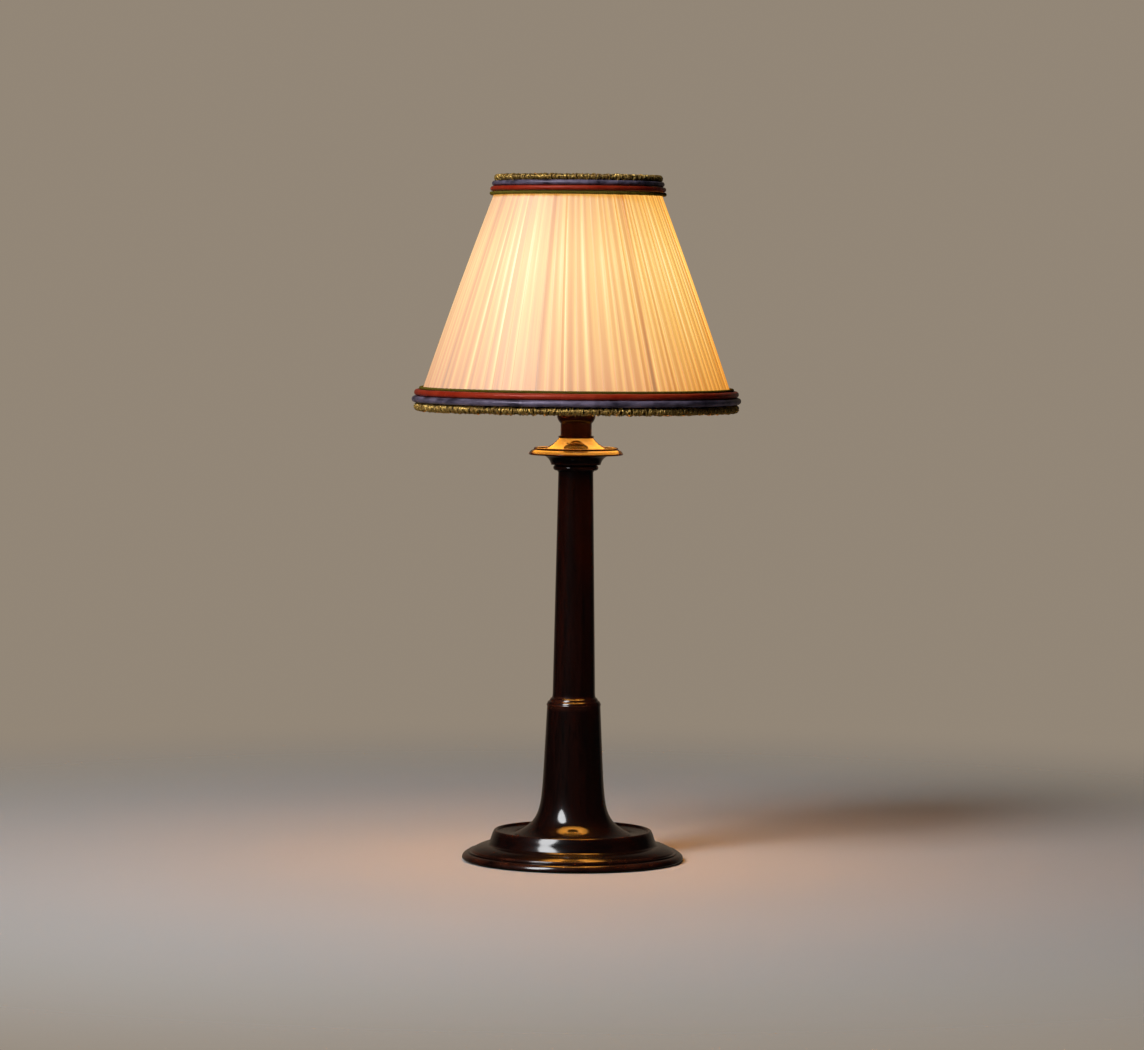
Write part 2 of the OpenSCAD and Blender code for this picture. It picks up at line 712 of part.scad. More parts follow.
module terminal_screws() {
    head_r = 1.7 * terminal_r;
    head_h = 1.5 * terminal_r;
    slot = [2 * head_r + cut, screw_slot_w, 2 * screw_slot_depth];
    color("gold") for (y = [-terminal_y, terminal_y]) translate([0, y, core_z]) difference() {
        union() {
            cylinder(r = terminal_r, h = terminal_len);
            translate([0, 0, -head_h]) cylinder(r = head_r, h = head_h);
        }
        translate([0, 0, -head_h]) cube(slot, center = true);
    }
}

// Coil of round wire on the axis, with its ends flat against the heights z0 and z1
module coil(z0, z1, r, wire, turns) {
    sides = 6;
    steps = 8 * turns;
    rise = z1 - z0 - wire;
    rings = [for (i = [0:steps]) let (a = 360 * turns * i / steps, c = z0 + wire / 2 + rise * i / steps)
        for (k = [0:sides - 1]) let (b = 360 * k / sides, q = r + wire / 2 * cos(b))
            [q * cos(a), q * sin(a), c + wire / 2 * sin(b)]];
    sleeve = [for (i = [0:steps - 1], k = [0:sides - 1]) let (m = (k + 1) % sides, p = i * sides)
        each [[p + k, p + m, p + sides + k], [p + m, p + sides + m, p + sides + k]]];
    last = steps * sides;
    ends = [for (k = [1:sides - 2]) each [[0, k + 1, k], [last, last + k, last + k + 1]]];
    polyhedron(rings, [for (f = concat(sleeve, ends)) [f[0], f[2], f[1]]]);
    echo(coil_gap = rise / turns - wire);
}

module plunger_springs() {
    color("silver") for (y = [-contact_y, contact_y]) translate([0, y, 0])
        coil(spring_z, plunger_z - glue_gap, spring_r, spring_wire, spring_turns);
}

module contact_plungers() {
    tip_r = plunger_d / 6;
    color("gold") for (y = [-contact_y, contact_y]) translate([0, y, 0])
        turned(concat(
            [[0, plunger_z], [plunger_d / 2, plunger_z]],
            arc([plunger_d / 2 - tip_r, tip_z - tip_r], tip_r, 0, 90, 6),
            [[0, tip_z]]));
}

module switch_bar() {
    end_r = bar_d / 2;
    side = bar_groove_w / 2;
    in_r = end_r - bar_groove;
    in_side = side - bar_groove;
    half = bar_len / 2;
    outline = concat(
        arc([0, end_r - half], end_r, -90, 0),
        [[end_r, -side], [in_r, -in_side], [in_r, in_side], [end_r, side]],
        arc([0, half - end_r], end_r, 0, 90));
    color([0.25, 0.1, 0.06]) translate([-bar_travel / 2, 0, bar_z]) rotate([0, 90, 0]) turned(outline);
}

// Bayonet slot: a leg that the pin turns in, and an entry from the top of the barrel
module bayonet_slot() {
    width = pin_d + 2 * air_gap;
    leg_top_z = pin_z + pin_d / 2 + air_gap;
    leg_z = pin_z - pin_d / 2 - press_travel - air_gap;
    half_turn = asin(width / 2 / barrel_in_r);
    reach = barrel_r + cut;
    rotate([0, 0, -half_turn]) rotate_extrude(angle = bayonet_turn + 2 * half_turn)
        translate([barrel_in_r - cut, leg_z]) square([reach - barrel_in_r + cut, leg_top_z - leg_z]);
    rotate([0, 0, bayonet_turn]) translate([0, -width / 2, leg_z])
        cube([reach, width, barrel_top_z - leg_z + cut]);
}

module holder_skirt() {
    outline = [[sleeve_in_r, cap_rim_z - sleeve_len], [sleeve_in_r + sleeve_wall, cap_rim_z - sleeve_len],
        [sleeve_in_r + sleeve_wall, barrel_z], [barrel_r, barrel_z], [barrel_r, barrel_top_z],
        [barrel_in_r, barrel_top_z], [barrel_in_r, flange_z], [sleeve_in_r, flange_z]];
    color("goldenrod") difference() {
        turned(outline);
        for (a = [0, 180]) rotate([0, 0, a]) bayonet_slot();
    }
}

// Threaded ring with grip flutes round its edge
module shade_ring(z, h) {
    flute_x = shade_ring_d / 2 + flute_d / 4;
    difference() {
        translate([0, 0, z]) cylinder(d = shade_ring_d, h = h);
        translate([0, 0, z - cut]) cylinder(r = barrel_r + run_gap, h = h + 2 * cut);
        for (i = [0:flutes - 1]) rotate([0, 0, 360 * (i + 0.5) / flutes])
            translate([flute_x, 0, z - cut]) cylinder(d = flute_d, h = h + 2 * cut, $fn = 24);
    }
}

module shade_ring_lower() {
    color("goldenrod") shade_ring(barrel_z, ring_low_h);
}

module shade_ring_upper() {
    color("goldenrod") shade_ring(carrier_top_z, ring_up_h);
}

module bulb_seal() {
    seal_r = bulb_cap_d / 2 - bulb_cap_wall - glue_gap;
    top_z = bulb_z + seal_h;
    color([0.08, 0.08, 0.09]) turned([[0, bulb_z], [seal_r - seal_bevel, bulb_z], [seal_r, bulb_z + seal_bevel],
        [seal_r, top_z], [0, top_z]]);
}

module bulb_contacts() {
    color("silver") for (y = [-contact_y, contact_y])
        translate([0, y, contact_z]) cylinder(d1 = contact_d - contact_h, d2 = contact_d, h = contact_h);
}

module bulb_cap() {
    shell_z = bulb_z + seal_bevel;
    pin_in = bulb_cap_d / 2 - bulb_cap_wall;
    color("silver") difference() {
        union() {
            translate([0, 0, shell_z]) cylinder(d = bulb_cap_d, h = cap_top_z - shell_z);
            for (a = [0, 180]) rotate([0, 0, a]) translate([pin_in, 0, pin_z]) rotate([0, 90, 0])
                cylinder(d = pin_d, h = pin_reach - pin_in);
        }
        translate([0, 0, shell_z - cut]) cylinder(r = pin_in, h = cap_top_z - shell_z + 2 * cut);
    }
}

// Outline of the bulb's glass, set in by t from its outer face
function globe_outline(t) = concat(
    [[0, glass_neck_z], [glass_neck_r - t, glass_neck_z]],
    round_off([glass_neck_r - t, cap_top_z + glass_t],
        (globe_r - t) * [cos(globe_join), -sin(globe_join)] + [0, globe_z], 2 * swell),
    arc([0, globe_z], globe_r - t, -0.9 * globe_join, 90, 24));

module bulb_glass() {
    color([0.98, 0.96, 0.9]) difference() {
        turned(globe_outline(0));
        difference() {
            turned(globe_outline(glass_t));
            translate([0, 0, glass_neck_z]) cylinder(r = glass_neck_r, h = glass_t);
        }
        translate([0, 0, glass_neck_z - cut]) cylinder(r = glass_neck_r - 2 * glass_t, h = 2 * cut);
    }
}

module bulb_stem() {
    post_r = mount_d / 2;
    disc_r = glass_neck_r - glass_t - seat_gap;
    disc_z = glass_floor_z + glass_t;
    waist_z = (disc_z + stem_top_z) / 2;
    pinch_h = mount_rise / 2;
    color([0.8, 0.88, 0.88]) turned(concat(
        [[0, glass_floor_z], [disc_r, glass_floor_z], [disc_r, disc_z]],
        round_off([disc_r - glass_t, disc_z], [post_r, waist_z], 3 * swell, 8),
        [[post_r, stem_top_z - pinch_h], [post_r + glass_t, stem_top_z - pinch_h / 2], [post_r, stem_top_z],
         [0, stem_top_z]]));
}

// Straight round wire between two points
module rod(p, q, d) {
    v = q - p;
    translate(p) rotate([0, acos(v.z / norm(v)), atan2(v.y, v.x)]) cylinder(d = d, h = norm(v), $fn = 24);
}

module bulb_filament() {
    lead_d = 0.7;
    coil_d = 1.1;
    foot_x = mount_d / 2 - lead_d;
    end = [filament_half + coil_d, 0, 0];
    middle = [0, 0, globe_z];
    color("orange") union() {
        for (s = [-1, 1]) rod([s * foot_x, 0, stem_top_z + lead_d / 4], [s * filament_half, 0, globe_z], lead_d);
        rod(middle - end, middle + end, coil_d);
    }
}

module carrier_ring() {
    color("goldenrod") difference() {
        translate([0, 0, carrier_z]) cylinder(d = carrier_d, h = carrier_t);
        translate([0, 0, carrier_z - cut]) cylinder(r = barrel_r + air_gap, h = carrier_t + 2 * cut);
    }
}

module carrier_arms() {
    foot = [arm_foot_r, 0, carrier_z];
    head = [arm_head_r, 0, top_ring_z];
    below = 2 * arm_wire;
    color("goldenrod") for (i = [0:arms - 1]) rotate([0, 0, arm_turn + 360 * i / arms]) difference() {
        rod(foot, head, arm_wire);
        translate([0, 0, carrier_z - below]) cylinder(d = 2 * carrier_d, h = below + carrier_t + glue_gap);
        cord_ring(top_ring, ring_wire + 2 * glue_gap);
    }
}

module frame_top_ring() {
    color("silver") cord_ring(top_ring, ring_wire);
}

module frame_bottom_ring() {
    color("silver") cord_ring(bottom_ring, ring_wire);
}

module frame_struts() {
    end = ring_wire / 2 + glue_gap;
    low = on_slope(bottom_ring, end, 0);
    high = on_slope(top_ring, -end, 0);
    color("silver") for (i = [0:struts - 1]) rotate([0, 0, strut_turn + 360 * i / struts])
        rod([low.x, 0, low.y], [high.x, 0, high.y], strut_wire);
}

module shade_lining() {
    z0 = bottom_ring_z - cloth_over;
    off = -ring_skin;
    color([0.97, 0.9, 0.78]) turned([[skin_r(z0, off - lining_t), z0], [skin_r(z0, off), z0],
        [skin_r(lining_top_z, off), lining_top_z], [skin_r(lining_top_z, off - lining_t), lining_top_z]]);
}

// Pleated cone: each pleat has a ridge and a valley, and the rows bow out between the rings
module shade_silk() {
    rows = 3;
    columns = 2 * pleats;
    z0 = bottom_ring_z - cloth_over;
    z1 = top_ring_z + cloth_over;
    points = [for (side = [0, 1], i = [0:rows - 1], j = [0:columns - 1])
        let (t = i / (rows - 1), z = z0 + t * (z1 - z0), ridge = (j + 1) % 2,
            a = 360 / pleats * (floor(j / 2) + (1 - ridge) * pleat_lean),
            r = skin_r(z, ring_skin + side * silk_t + ridge * pleat_depth) + silk_bow * sin(180 * t))
        [r * cos(a), r * sin(a), z]];
    outer = rows * columns;
    walls = [for (side = [0, 1], i = [0:rows - 2], j = [0:columns - 1])
        let (m = (j + 1) % columns, p = side * outer + i * columns, q = p + columns,
            quad = side == 1 ? [p + j, q + j, q + m, p + m] : [p + j, p + m, q + m, q + j])
        each [[quad[0], quad[1], quad[2]], [quad[0], quad[2], quad[3]]]];
    hems = [for (end = [0, 1], j = [0:columns - 1])
        let (m = (j + 1) % columns, p = end * (rows - 1) * columns, q = p + outer,
            quad = end == 1 ? [p + j, p + m, q + m, q + j] : [p + j, q + j, q + m, p + m])
        each [[quad[0], quad[1], quad[2]], [quad[0], quad[2], quad[3]]]];
    color([0.98, 0.86, 0.66]) polyhedron(points, concat(walls, hems));
}

module top_green_cord() {
    color("olive") cord_ring(on_silk(top_ring, green_top_s, green_top_d), green_top_d);
}

module top_red_piping() {
    color("firebrick") cord_ring(on_silk(top_ring, red_top_s, red_top_d), red_top_d);
}

module top_blue_piping() {
    color("slateblue") cord_ring(blue_top, blue_top_d);
}

module top_gold_braid() {
    color("darkgoldenrod") cord_ring(gold_top, gold_top_d);
}

module bottom_green_cord() {
    color("olive") cord_ring(on_silk(bottom_ring, green_low_s, green_low_d), green_low_d);
}

module bottom_red_piping() {
    color("firebrick") cord_ring(on_silk(bottom_ring, red_low_s, red_low_d), red_low_d);
}

module bottom_blue_piping() {
    color("slateblue") cord_ring(blue_low, blue_low_d);
}

module bottom_gold_braid() {
    color("darkgoldenrod") cord_ring(gold_low, gold_low_d);
}

baize_pad();
base_foot();
cord_bush();
tie_washer();
tie_nut();
tie_tube();
lower_stem();
upper_stem();
capital();
drip_pan();
nozzle();
neck_washer();
holder_cap();
locking_screw();
holder_core();
terminal_screws();
plunger_springs();
contact_plungers();
switch_bar();
holder_skirt();
shade_ring_lower();
shade_ring_upper();
bulb_seal();
bulb_contacts();
bulb_cap();
bulb_glass();
bulb_stem();
bulb_filament();
carrier_ring();
carrier_arms();
frame_top_ring();
frame_bottom_ring();
frame_struts();
shade_lining();
shade_silk();
top_green_cord();
top_red_piping();
top_blue_piping();
top_gold_braid();
bottom_green_cord();
bottom_red_piping();
bottom_blue_piping();
bottom_gold_braid();
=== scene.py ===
"""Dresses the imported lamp: a turned and polished stand, a brass lampholder and a pleated silk shade."""
import math
import random

import bpy
from bpy.props import FloatProperty, FloatVectorProperty, IntProperty, PointerProperty
from bpy.types import NodeSocket, Operator, Panel, PropertyGroup
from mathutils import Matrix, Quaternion, Vector, noise


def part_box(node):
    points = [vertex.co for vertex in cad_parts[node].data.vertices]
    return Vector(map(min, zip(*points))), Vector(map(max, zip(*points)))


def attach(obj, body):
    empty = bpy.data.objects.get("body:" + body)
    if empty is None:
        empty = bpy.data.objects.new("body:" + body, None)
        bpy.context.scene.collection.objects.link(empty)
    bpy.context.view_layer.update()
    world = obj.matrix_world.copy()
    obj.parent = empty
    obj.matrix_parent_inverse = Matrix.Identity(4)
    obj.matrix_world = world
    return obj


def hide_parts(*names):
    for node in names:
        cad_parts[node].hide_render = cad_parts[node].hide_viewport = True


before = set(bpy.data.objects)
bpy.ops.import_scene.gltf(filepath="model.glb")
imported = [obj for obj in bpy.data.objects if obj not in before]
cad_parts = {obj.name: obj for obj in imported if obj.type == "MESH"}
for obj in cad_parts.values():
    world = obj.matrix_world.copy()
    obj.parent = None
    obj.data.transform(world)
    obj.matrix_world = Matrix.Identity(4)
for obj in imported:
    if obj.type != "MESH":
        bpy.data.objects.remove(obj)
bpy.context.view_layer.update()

bl_info = {
    "name": "Turned table lamp",
    "version": (1, 0, 0),
    "blender": (4, 5, 0),
    "location": "View3D > Sidebar > Lamp",
    "description": "Builds the visible pieces of a turned table lamp with a pleated silk shade",
    "category": "Object",
}

MM = 0.001
TURN = 2 * math.pi
# Points that lie closer than this are one point
WELD = MM / 1000
# Edges that bend by more degrees than this stay crisp: on turned wood, plain cloth and folded cloth
WOOD_CREASE = 34
CLOTH_CREASE = 40
FOLD_CREASE = 50
# Steps of a full turn for plain cloth
CLOTH_STEPS = 192


# Properties

def length(millimetres, name, description):
    """Property for a length, with its default given in millimetres."""
    return FloatProperty(name=name, description=description, default=millimetres * MM, unit="LENGTH",
                         precision=5)


def colour(rgb, name, description):
    """Property for a colour, in linear light."""
    return FloatVectorProperty(name=name, description=description, default=rgb, size=3, subtype="COLOR")


def number(value, name, description):
    """Property for a plain number."""
    return FloatProperty(name=name, description=description, default=value, precision=4)


def angle(degrees, name, description):
    """Property for an angle, with its default given in degrees."""
    return FloatProperty(name=name, description=description, default=math.radians(degrees), subtype="ANGLE")


class LampStand(PropertyGroup):
    """Mouldings of the turned stand"""
    toe_h: length(0.6, "Toe height", "Upright toe under the quarter round")
    toe_r: length(4.0, "Toe radius", "Quarter round round the foot")
    fillet_step: length(0.4, "Fillet step", "Step in from the quarter round to the fillet")
    fillet_h: length(1.0, "Fillet height", "Height of the fillet")
    shelf_step: length(2.4, "Shelf step", "Step in from the fillet to the shelf")
    shelf_h: length(1.2, "Shelf edge", "Height of the shelf's rounded edge")
    shelf_w: length(10.8, "Shelf width", "Width of the shelf between its edge and the cove")
    shelf_slope: angle(20.0, "Shelf slope", "Slope of the shelf up to the cove, on average")
    shelf_swell: angle(15.0, "Shelf swell", "How much steeper the shelf is at its edge than on average")
    cove_r: length(2.0, "Cove radius", "Cove at the bottom of the drum")
    drum_lean: angle(22.0, "Drum lean", "Lean of the drum's wall from upright")
    drum_sway: angle(5.5, "Drum sway", "How much more the drum's wall leans at its ends than on average")
    rim_r: length(1.5, "Rim radius", "Rounded rim of the drum")
    dish_depth: length(3.0, "Dish depth", "Depth of the dish inside the rim")
    dish_flat: length(2.0, "Dish flat", "Flat of the dish round the stem's flare")
    recess_r: length(22.0, "Recess radius", "Recess under the foot")
    foot_spigot_r: length(14.0, "Foot spigot radius", "Spigot of the lower stem in the foot")
    bore_r: length(5.05, "Bore radius", "Bore for the threaded tube")
    spigot_r: length(8.5, "Spigot radius", "Glued spigots of the stem")
    spigot_len: length(8.0, "Spigot length", "Glued spigots of the stem")
    socket_gap: length(0.5, "Socket gap", "Room at the end of a socket")
    glue_gap: length(0.05, "Glue gap", "Room round a glued spigot")
    lower_d: length(38.5, "Lower stem", "Diameter of the lower stem under its shoulder")
    lower_foot_d: length(47.4, "Lower stem foot", "Diameter that the lower stem's taper reaches at the dish")
    flare_w: length(19.7, "Flare width", "How far the flare spreads at the dish")
    flare_fall: length(7.6, "Flare fall", "Height in which the flare falls to about a third")
    flare_edge: length(0.5, "Flare edge", "Thickness of the flare's edge")
    shoulder_h: length(4.6, "Shoulder height", "Height of the shoulder's two rounds")
    lip_h: length(1.2, "Lip height", "Lip under the shoulder")
    shoulder_d: length(31.4, "Shoulder top", "Diameter of the shoulder's top")
    upper_foot_d: length(30.6, "Upper stem foot", "Diameter of the upper stem at its bottom")
    upper_top_d: length(25.2, "Upper stem top", "Diameter of the upper stem at its top")
    upper_flare_h: length(4.0, "Upper flare", "Height in which the upper stem spreads at its bottom")
    capital_neck_h: length(0.8, "Capital neck", "Neck under the capital's bead")
    bead_d: length(32.6, "Bead", "Diameter across the capital's bead")
    bead_h: length(4.0, "Bead height", "Height of the capital's bead")
    bead_fillet_d: length(35.9, "Bead fillet", "Diameter of the fillet over the bead")
    bead_fillet_h: length(0.9, "Bead fillet height", "Height of the fillet over the bead")
    pan_lip_d: length(60.8, "Pan lip", "Diameter of the pan's lip")
    pan_lip_face: length(0.9, "Pan lip face", "Height of the lip's upright face over the bevel")
    pan_lip_h: length(6.1, "Pan lip height", "Height of the lip above the capital")
    pan_lip_w: length(1.0, "Pan lip width", "Width of the lip")
    pan_rise: length(0.8, "Pan rise", "Rise of the pan's underside")
    pan_edge: length(1.7, "Pan edge", "Thickness of the pan's edge")
    cone_d: length(40.4, "Cone", "Diameter of the pan's cone at its bottom")
    cone_top_d: length(24.6, "Cone top", "Diameter of the pan's cone at its top")
    cone_h: length(13.3, "Cone height", "Height of the cone's top above the capital")
    disc_d: length(25.4, "Disc", "Diameter of the thin disc on the cone")
    neck_spigot_r: length(7.5, "Neck spigot radius", "Spigot of the pan in the nozzle")
    neck_d: length(22.4, "Neck", "Diameter of the nozzle's neck")
    neck_h: length(9.0, "Neck height", "Height of the nozzle's neck")
    cup_rise: length(4.6, "Cup rise", "Height of the curve from the neck to the cup")
    cup_bevel: length(1.0, "Cup bevel", "Bevel round the top of the cup")
    quirk: length(0.2, "Quirk", "Small step between two mouldings")
    swell: length(0.4, "Swell", "Swell of a small round")
    cord_hole_r: length(2.85, "Cord hole radius", "Hole for the bush in the back of the foot")
    steps: IntProperty(name="Steps", description="Steps of a full turn on the lathe", default=180)


class LampShade(PropertyGroup):
    """Cloth and trims of the shade"""
    pleats: IntProperty(name="Pleats", description="Number of knife pleats round the shade", default=96)
    silk_in: length(2.05, "Silk inside", "Inner folds of the silk, out from the frame's wire")
    silk_out: length(3.45, "Silk outside", "Outer folds of the silk, out from the frame's wire")
    silk_t: length(0.12, "Silk thickness", "Thickness of the silk")
    bow: length(1.0, "Bow", "How far the silk bows out at half its height")
    under_low: number(0.62, "Underlap, bottom", "Underlap of a pleat at the bottom, as a share of its pitch")
    under_top: number(0.9, "Underlap, top", "Underlap of a pleat at the top, as a share of its pitch")
    uneven: number(0.36, "Uneven", "How far a pleat's width strays, as a share of the pitch")
    lean: angle(2.2, "Lean", "How far round a pleat's bottom lies from its top, on average")
    lean_turn: angle(-100.0, "Lean turn", "Direction in which the pleats lean by their average")
    glow_turn: angle(-45.0, "Glow turn", "Direction towards which the bulb leans in the shade")
    struts: IntProperty(name="Struts", description="Number of the frame's struts", default=8)
    strut_turn: angle(30.0, "Strut turn", "Direction of the frame's first strut")
    lining_t: length(0.3, "Lining thickness", "Thickness of the lining")
    lining_skin: length(2.05, "Lining skin", "How far the lining lies inside the frame's wire")
    pucker: length(0.14, "Pucker", "Height of the puckers in the piping")
    pucker_len: length(3.2, "Pucker length", "Length of one pucker along the piping")
    ply_twist: length(2.6, "Cord twist", "Length in which the green cord's plies turn once")
    loop: length(1.7, "Braid loop", "Length of one loop of the gold braid")
    loop_wire: length(0.4, "Braid wire", "Radius of the braid's gilt wire")
    braid_tuck: length(1.6, "Braid tuck", "How far the bottom braid is tucked in under the blue piping")


class LampColours(PropertyGroup):
    """Colours of the finishes"""
    wood_dark: colour((0.004, 0.0010, 0.0007), "Dark wood", "Dark figure of the polished wood")
    wood_red: colour((0.015, 0.0030, 0.0016), "Red wood", "Red figure of the polished wood")
    # Rounds of the wood, lighter from rubbing and also as a painted reflection of the lit shade
    wood_rub_and_glint: colour((0.055, 0.014, 0.006), "Rubbed wood", "Edges that hands and dusters have rubbed")
    baize: colour((0.012, 0.055, 0.022), "Baize", "Wool cloth under the foot")
    brass: colour((0.72, 0.47, 0.17), "Brass", "Lacquered brass of the lampholder")
    steel: colour((0.50, 0.50, 0.49), "Steel", "Washer, nut and screws")
    tin: colour((0.66, 0.65, 0.62), "Tinned metal", "Cap and contacts of the bulb")
    moulding: colour((0.045, 0.014, 0.008), "Brown moulding", "Moulded core and push bar")
    silk: colour((0.35, 0.345, 0.345), "Silk", "Unlit silk")
    silk_shadow: colour((0.62, 0.23, 0.028), "Silk glow, deep", "Light through several layers of silk")
    silk_glow: colour((0.92, 0.51, 0.115), "Silk glow", "Light through the silk")
    silk_bright: colour((1.0, 0.80, 0.38), "Silk glow, bright", "Light through one layer near the bulb")
    lining: colour((1.0, 0.385, 0.022), "Lining glow", "Lit lining inside the shade")
    bulb: colour((1.0, 0.52, 0.10), "Bulb glow", "Lit pearl glass")
    green: colour((0.13, 0.10, 0.007), "Green cord", "Thin olive cord")
    red: colour((0.32, 0.018, 0.005), "Red piping", "Brick red piping")
    # Sheen colour of the red piping, also painted into its colour in patches
    red_sheen: colour((0.50, 0.06, 0.02), "Red piping, pale", "Sheen of the red piping")
    blue: colour((0.032, 0.026, 0.043), "Blue piping", "Grey blue satin piping")
    # Sheen colour of the blue piping, also painted into its colour in patches
    blue_sheen: colour((0.37, 0.30, 0.44), "Blue piping, pale", "Sheen of the blue piping")
    gold: colour((0.88, 0.58, 0.16), "Gold braid", "Metal thread of the braid")
    floor: colour((0.64, 0.63, 0.62), "Floor", "Plain floor")
    backdrop: colour((0.29, 0.24, 0.185), "Backdrop", "Plain backdrop behind the floor")
    room: colour((0.15, 0.15, 0.15), "Room", "Dim room in front of the lamp and beside it")
    wall: colour((2.9, 2.2, 1.6), "Lit wall", "Lit wall behind the lamp, as its polish reflects it")
    daylight: colour((0.97, 0.98, 1.0), "Daylight", "Colour of the window light")


class LampStage(PropertyGroup):
    """Camera and light"""
    eye_distance: length(3240.0, "Eye distance", "Distance of the camera from the lamp's axis")
    eye_height: length(416.0, "Eye height", "Height of the camera above the floor")
    aim_x: length(-2.4, "Aim across", "Point aimed at, across the lamp's axis")
    aim_z: length(242.6, "Aim height", "Height of the point aimed at")
    lens: number(141.6, "Lens", "Focal length on a 36 mm wide sensor, in millimetres")
    roll: angle(0.5, "Roll", "Tilt of the camera about its own axis")
    window_distance: length(2500.0, "Window distance", "Distance of the window light from the lamp")
    window_w: length(1000.0, "Window width", "Width of the window light")
    window_h: length(1900.0, "Window height", "Height of the window light")
    key_power: number(54.0, "Key power", "Power of the soft window light, in watts")
    ambient: number(0.05, "Ambient", "Brightness of the room's own light")
    bulb_power: number(9.0, "Bulb strength", "Brightness of the lit glass")
    lining_power: number(6.0, "Lining strength", "Brightness of the lit lining")
    floor_r: length(2400.0, "Floor radius", "Radius of the round floor")
    fade_start: length(300.0, "Fade start", "Distance at which the floor starts to fade into the backdrop")
    fade_end: length(1050.0, "Fade end", "Distance at which the floor has faded into the backdrop")


# Making meshes

def clear_selection():
    """Deselect everything, so that an operator acts only on what it adds."""
    bpy.ops.object.select_all(action="DESELECT")


def select_only(*pieces):
    """Select these pieces alone, with the last of them active."""
    clear_selection()
    for piece in pieces:
        piece.select_set(True)
        bpy.context.view_layer.objects.active = piece


def named(piece, name):
    """Give the piece and its mesh one name."""
    piece.name = name
    piece.data.name = name
    return piece


def arc(centre, radius, start, end, count=12):
    """Points of an arc in the lamp's section, with its angles in degrees."""
    points = []
    for i in range(count + 1):
        a = math.radians(start + (end - start) * i / count)
        points.append((centre[0] + radius * math.cos(a), centre[1] + radius * math.sin(a)))
    return points


def swelled(start, end, bulge, count=12):
    """Points of a shallow round that swells to the left of the way from start to end."""
    across, up = end[0] - start[0], end[1] - start[1]
    span = math.hypot(across, up)
    points = []
    for i in range(count + 1):
        t = i / count
        out = 4 * t * (1 - t) * bulge / span
        points.append((start[0] + t * across - out * up, start[1] + t * up + out * across))
    return points


def swayed(start, end, lean, count=16):
    """Points of a wall that leans in by one angle at both its ends and stands steeper between them."""
    across, up = end[0] - start[0], end[1] - start[1]
    sway = (across + up * math.tan(lean)) / TURN
    return [(start[0] + across * i / count - sway * math.sin(TURN * i / count), start[1] + up * i / count)
            for i in range(1, count)]


def drawn_line(name, outline):
    """A chain of edges through points of the lamp's section, left in edit mode."""
    clear_selection()
    bpy.ops.mesh.primitive_plane_add(size=MM)
    piece = named(bpy.context.object, name)
    bpy.ops.object.mode_set(mode="EDIT")
    bpy.ops.mesh.merge(type="CENTER")
    bpy.ops.transform.translate(value=(outline[0][0], 0, outline[0][1]))
    for p, q in zip(outline, outline[1:]):
        bpy.ops.mesh.extrude_region_move(TRANSFORM_OT_translate={"value": (q[0] - p[0], 0, q[1] - p[1])})
    return piece


def close_mesh(crease):
    """Merge the doubled points in edit mode, turn the faces outwards and leave edit mode."""
    bpy.ops.mesh.select_all(action="SELECT")
    bpy.ops.mesh.remove_doubles(threshold=WELD)
    bpy.ops.mesh.normals_make_consistent(inside=False)
    bpy.ops.object.mode_set(mode="OBJECT")
    bpy.ops.object.shade_smooth_by_angle(angle=math.radians(crease))


def spun(piece, steps, crease):
    """Spin the chain in edit mode about the lamp's axis and close it."""
    bpy.ops.mesh.select_all(action="SELECT")
    bpy.ops.mesh.remove_doubles(threshold=WELD)
    bpy.ops.mesh.spin(steps=steps, angle=TURN, center=(0, 0, 0), axis=(0, 0, 1))
    close_mesh(crease)
    return piece


def turned(name, outline, steps):
    """Solid turned from a closed outline."""
    return spun(drawn_line(name, outline + outline[:1]), steps, WOOD_CREASE)


def modified(piece, kind, **settings):
    """Add a modifier to the piece and apply it."""
    select_only(piece)
    modifier = piece.modifiers.new(kind.title(), kind)
    for key, value in settings.items():
        setattr(modifier, key, value)
    bpy.ops.object.modifier_apply(modifier=modifier.name)
    return piece


def mark(piece, name, values):
    """Keep one number for each point of the piece, for its finish to read."""
    piece.data.attributes.new(name, "FLOAT", "POINT").data.foreach_set("value", values)


def lay_out(piece, places):
    """Set the piece's cloth coordinates, from each point's place on the flat cloth."""
    flat = []
    for loop in piece.data.loops:
        flat += places[loop.vertex_index]
    piece.data.uv_layers[0].data.foreach_set("uv", flat)


def set_in(piece, material, body, slot, *nodes):
    """Give the piece its finish and its body, and hide the solids it stands for."""
    piece.data.materials.clear()
    piece.data.materials.append(material)
    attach(piece, body)
    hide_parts(*nodes)
    return piece


def ring_of(node):
    """Middle radius, height and cord radius of a ring-shaped solid."""
    low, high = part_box(node)
    cord = (high.z - low.z) / 2
    return high.x - cord, low.z + cord, cord


class Cone:
    """The slope of the shade's frame, from its bottom ring to its top ring."""

    def __init__(self):
        self.low_r, self.low_z, self.wire = ring_of("frame_bottom_ring")
        self.top_r, self.top_z, _ = ring_of("frame_top_ring")
        self.height = self.top_z - self.low_z
        self.angle = math.atan2(self.low_r - self.top_r, self.height)

    def radius(self, z, out):
        """Radius at a height, moved out square to the slope."""
        t = (z - self.low_z) / self.height
        return self.low_r + (self.top_r - self.low_r) * t + out / math.cos(self.angle)


# Finishes

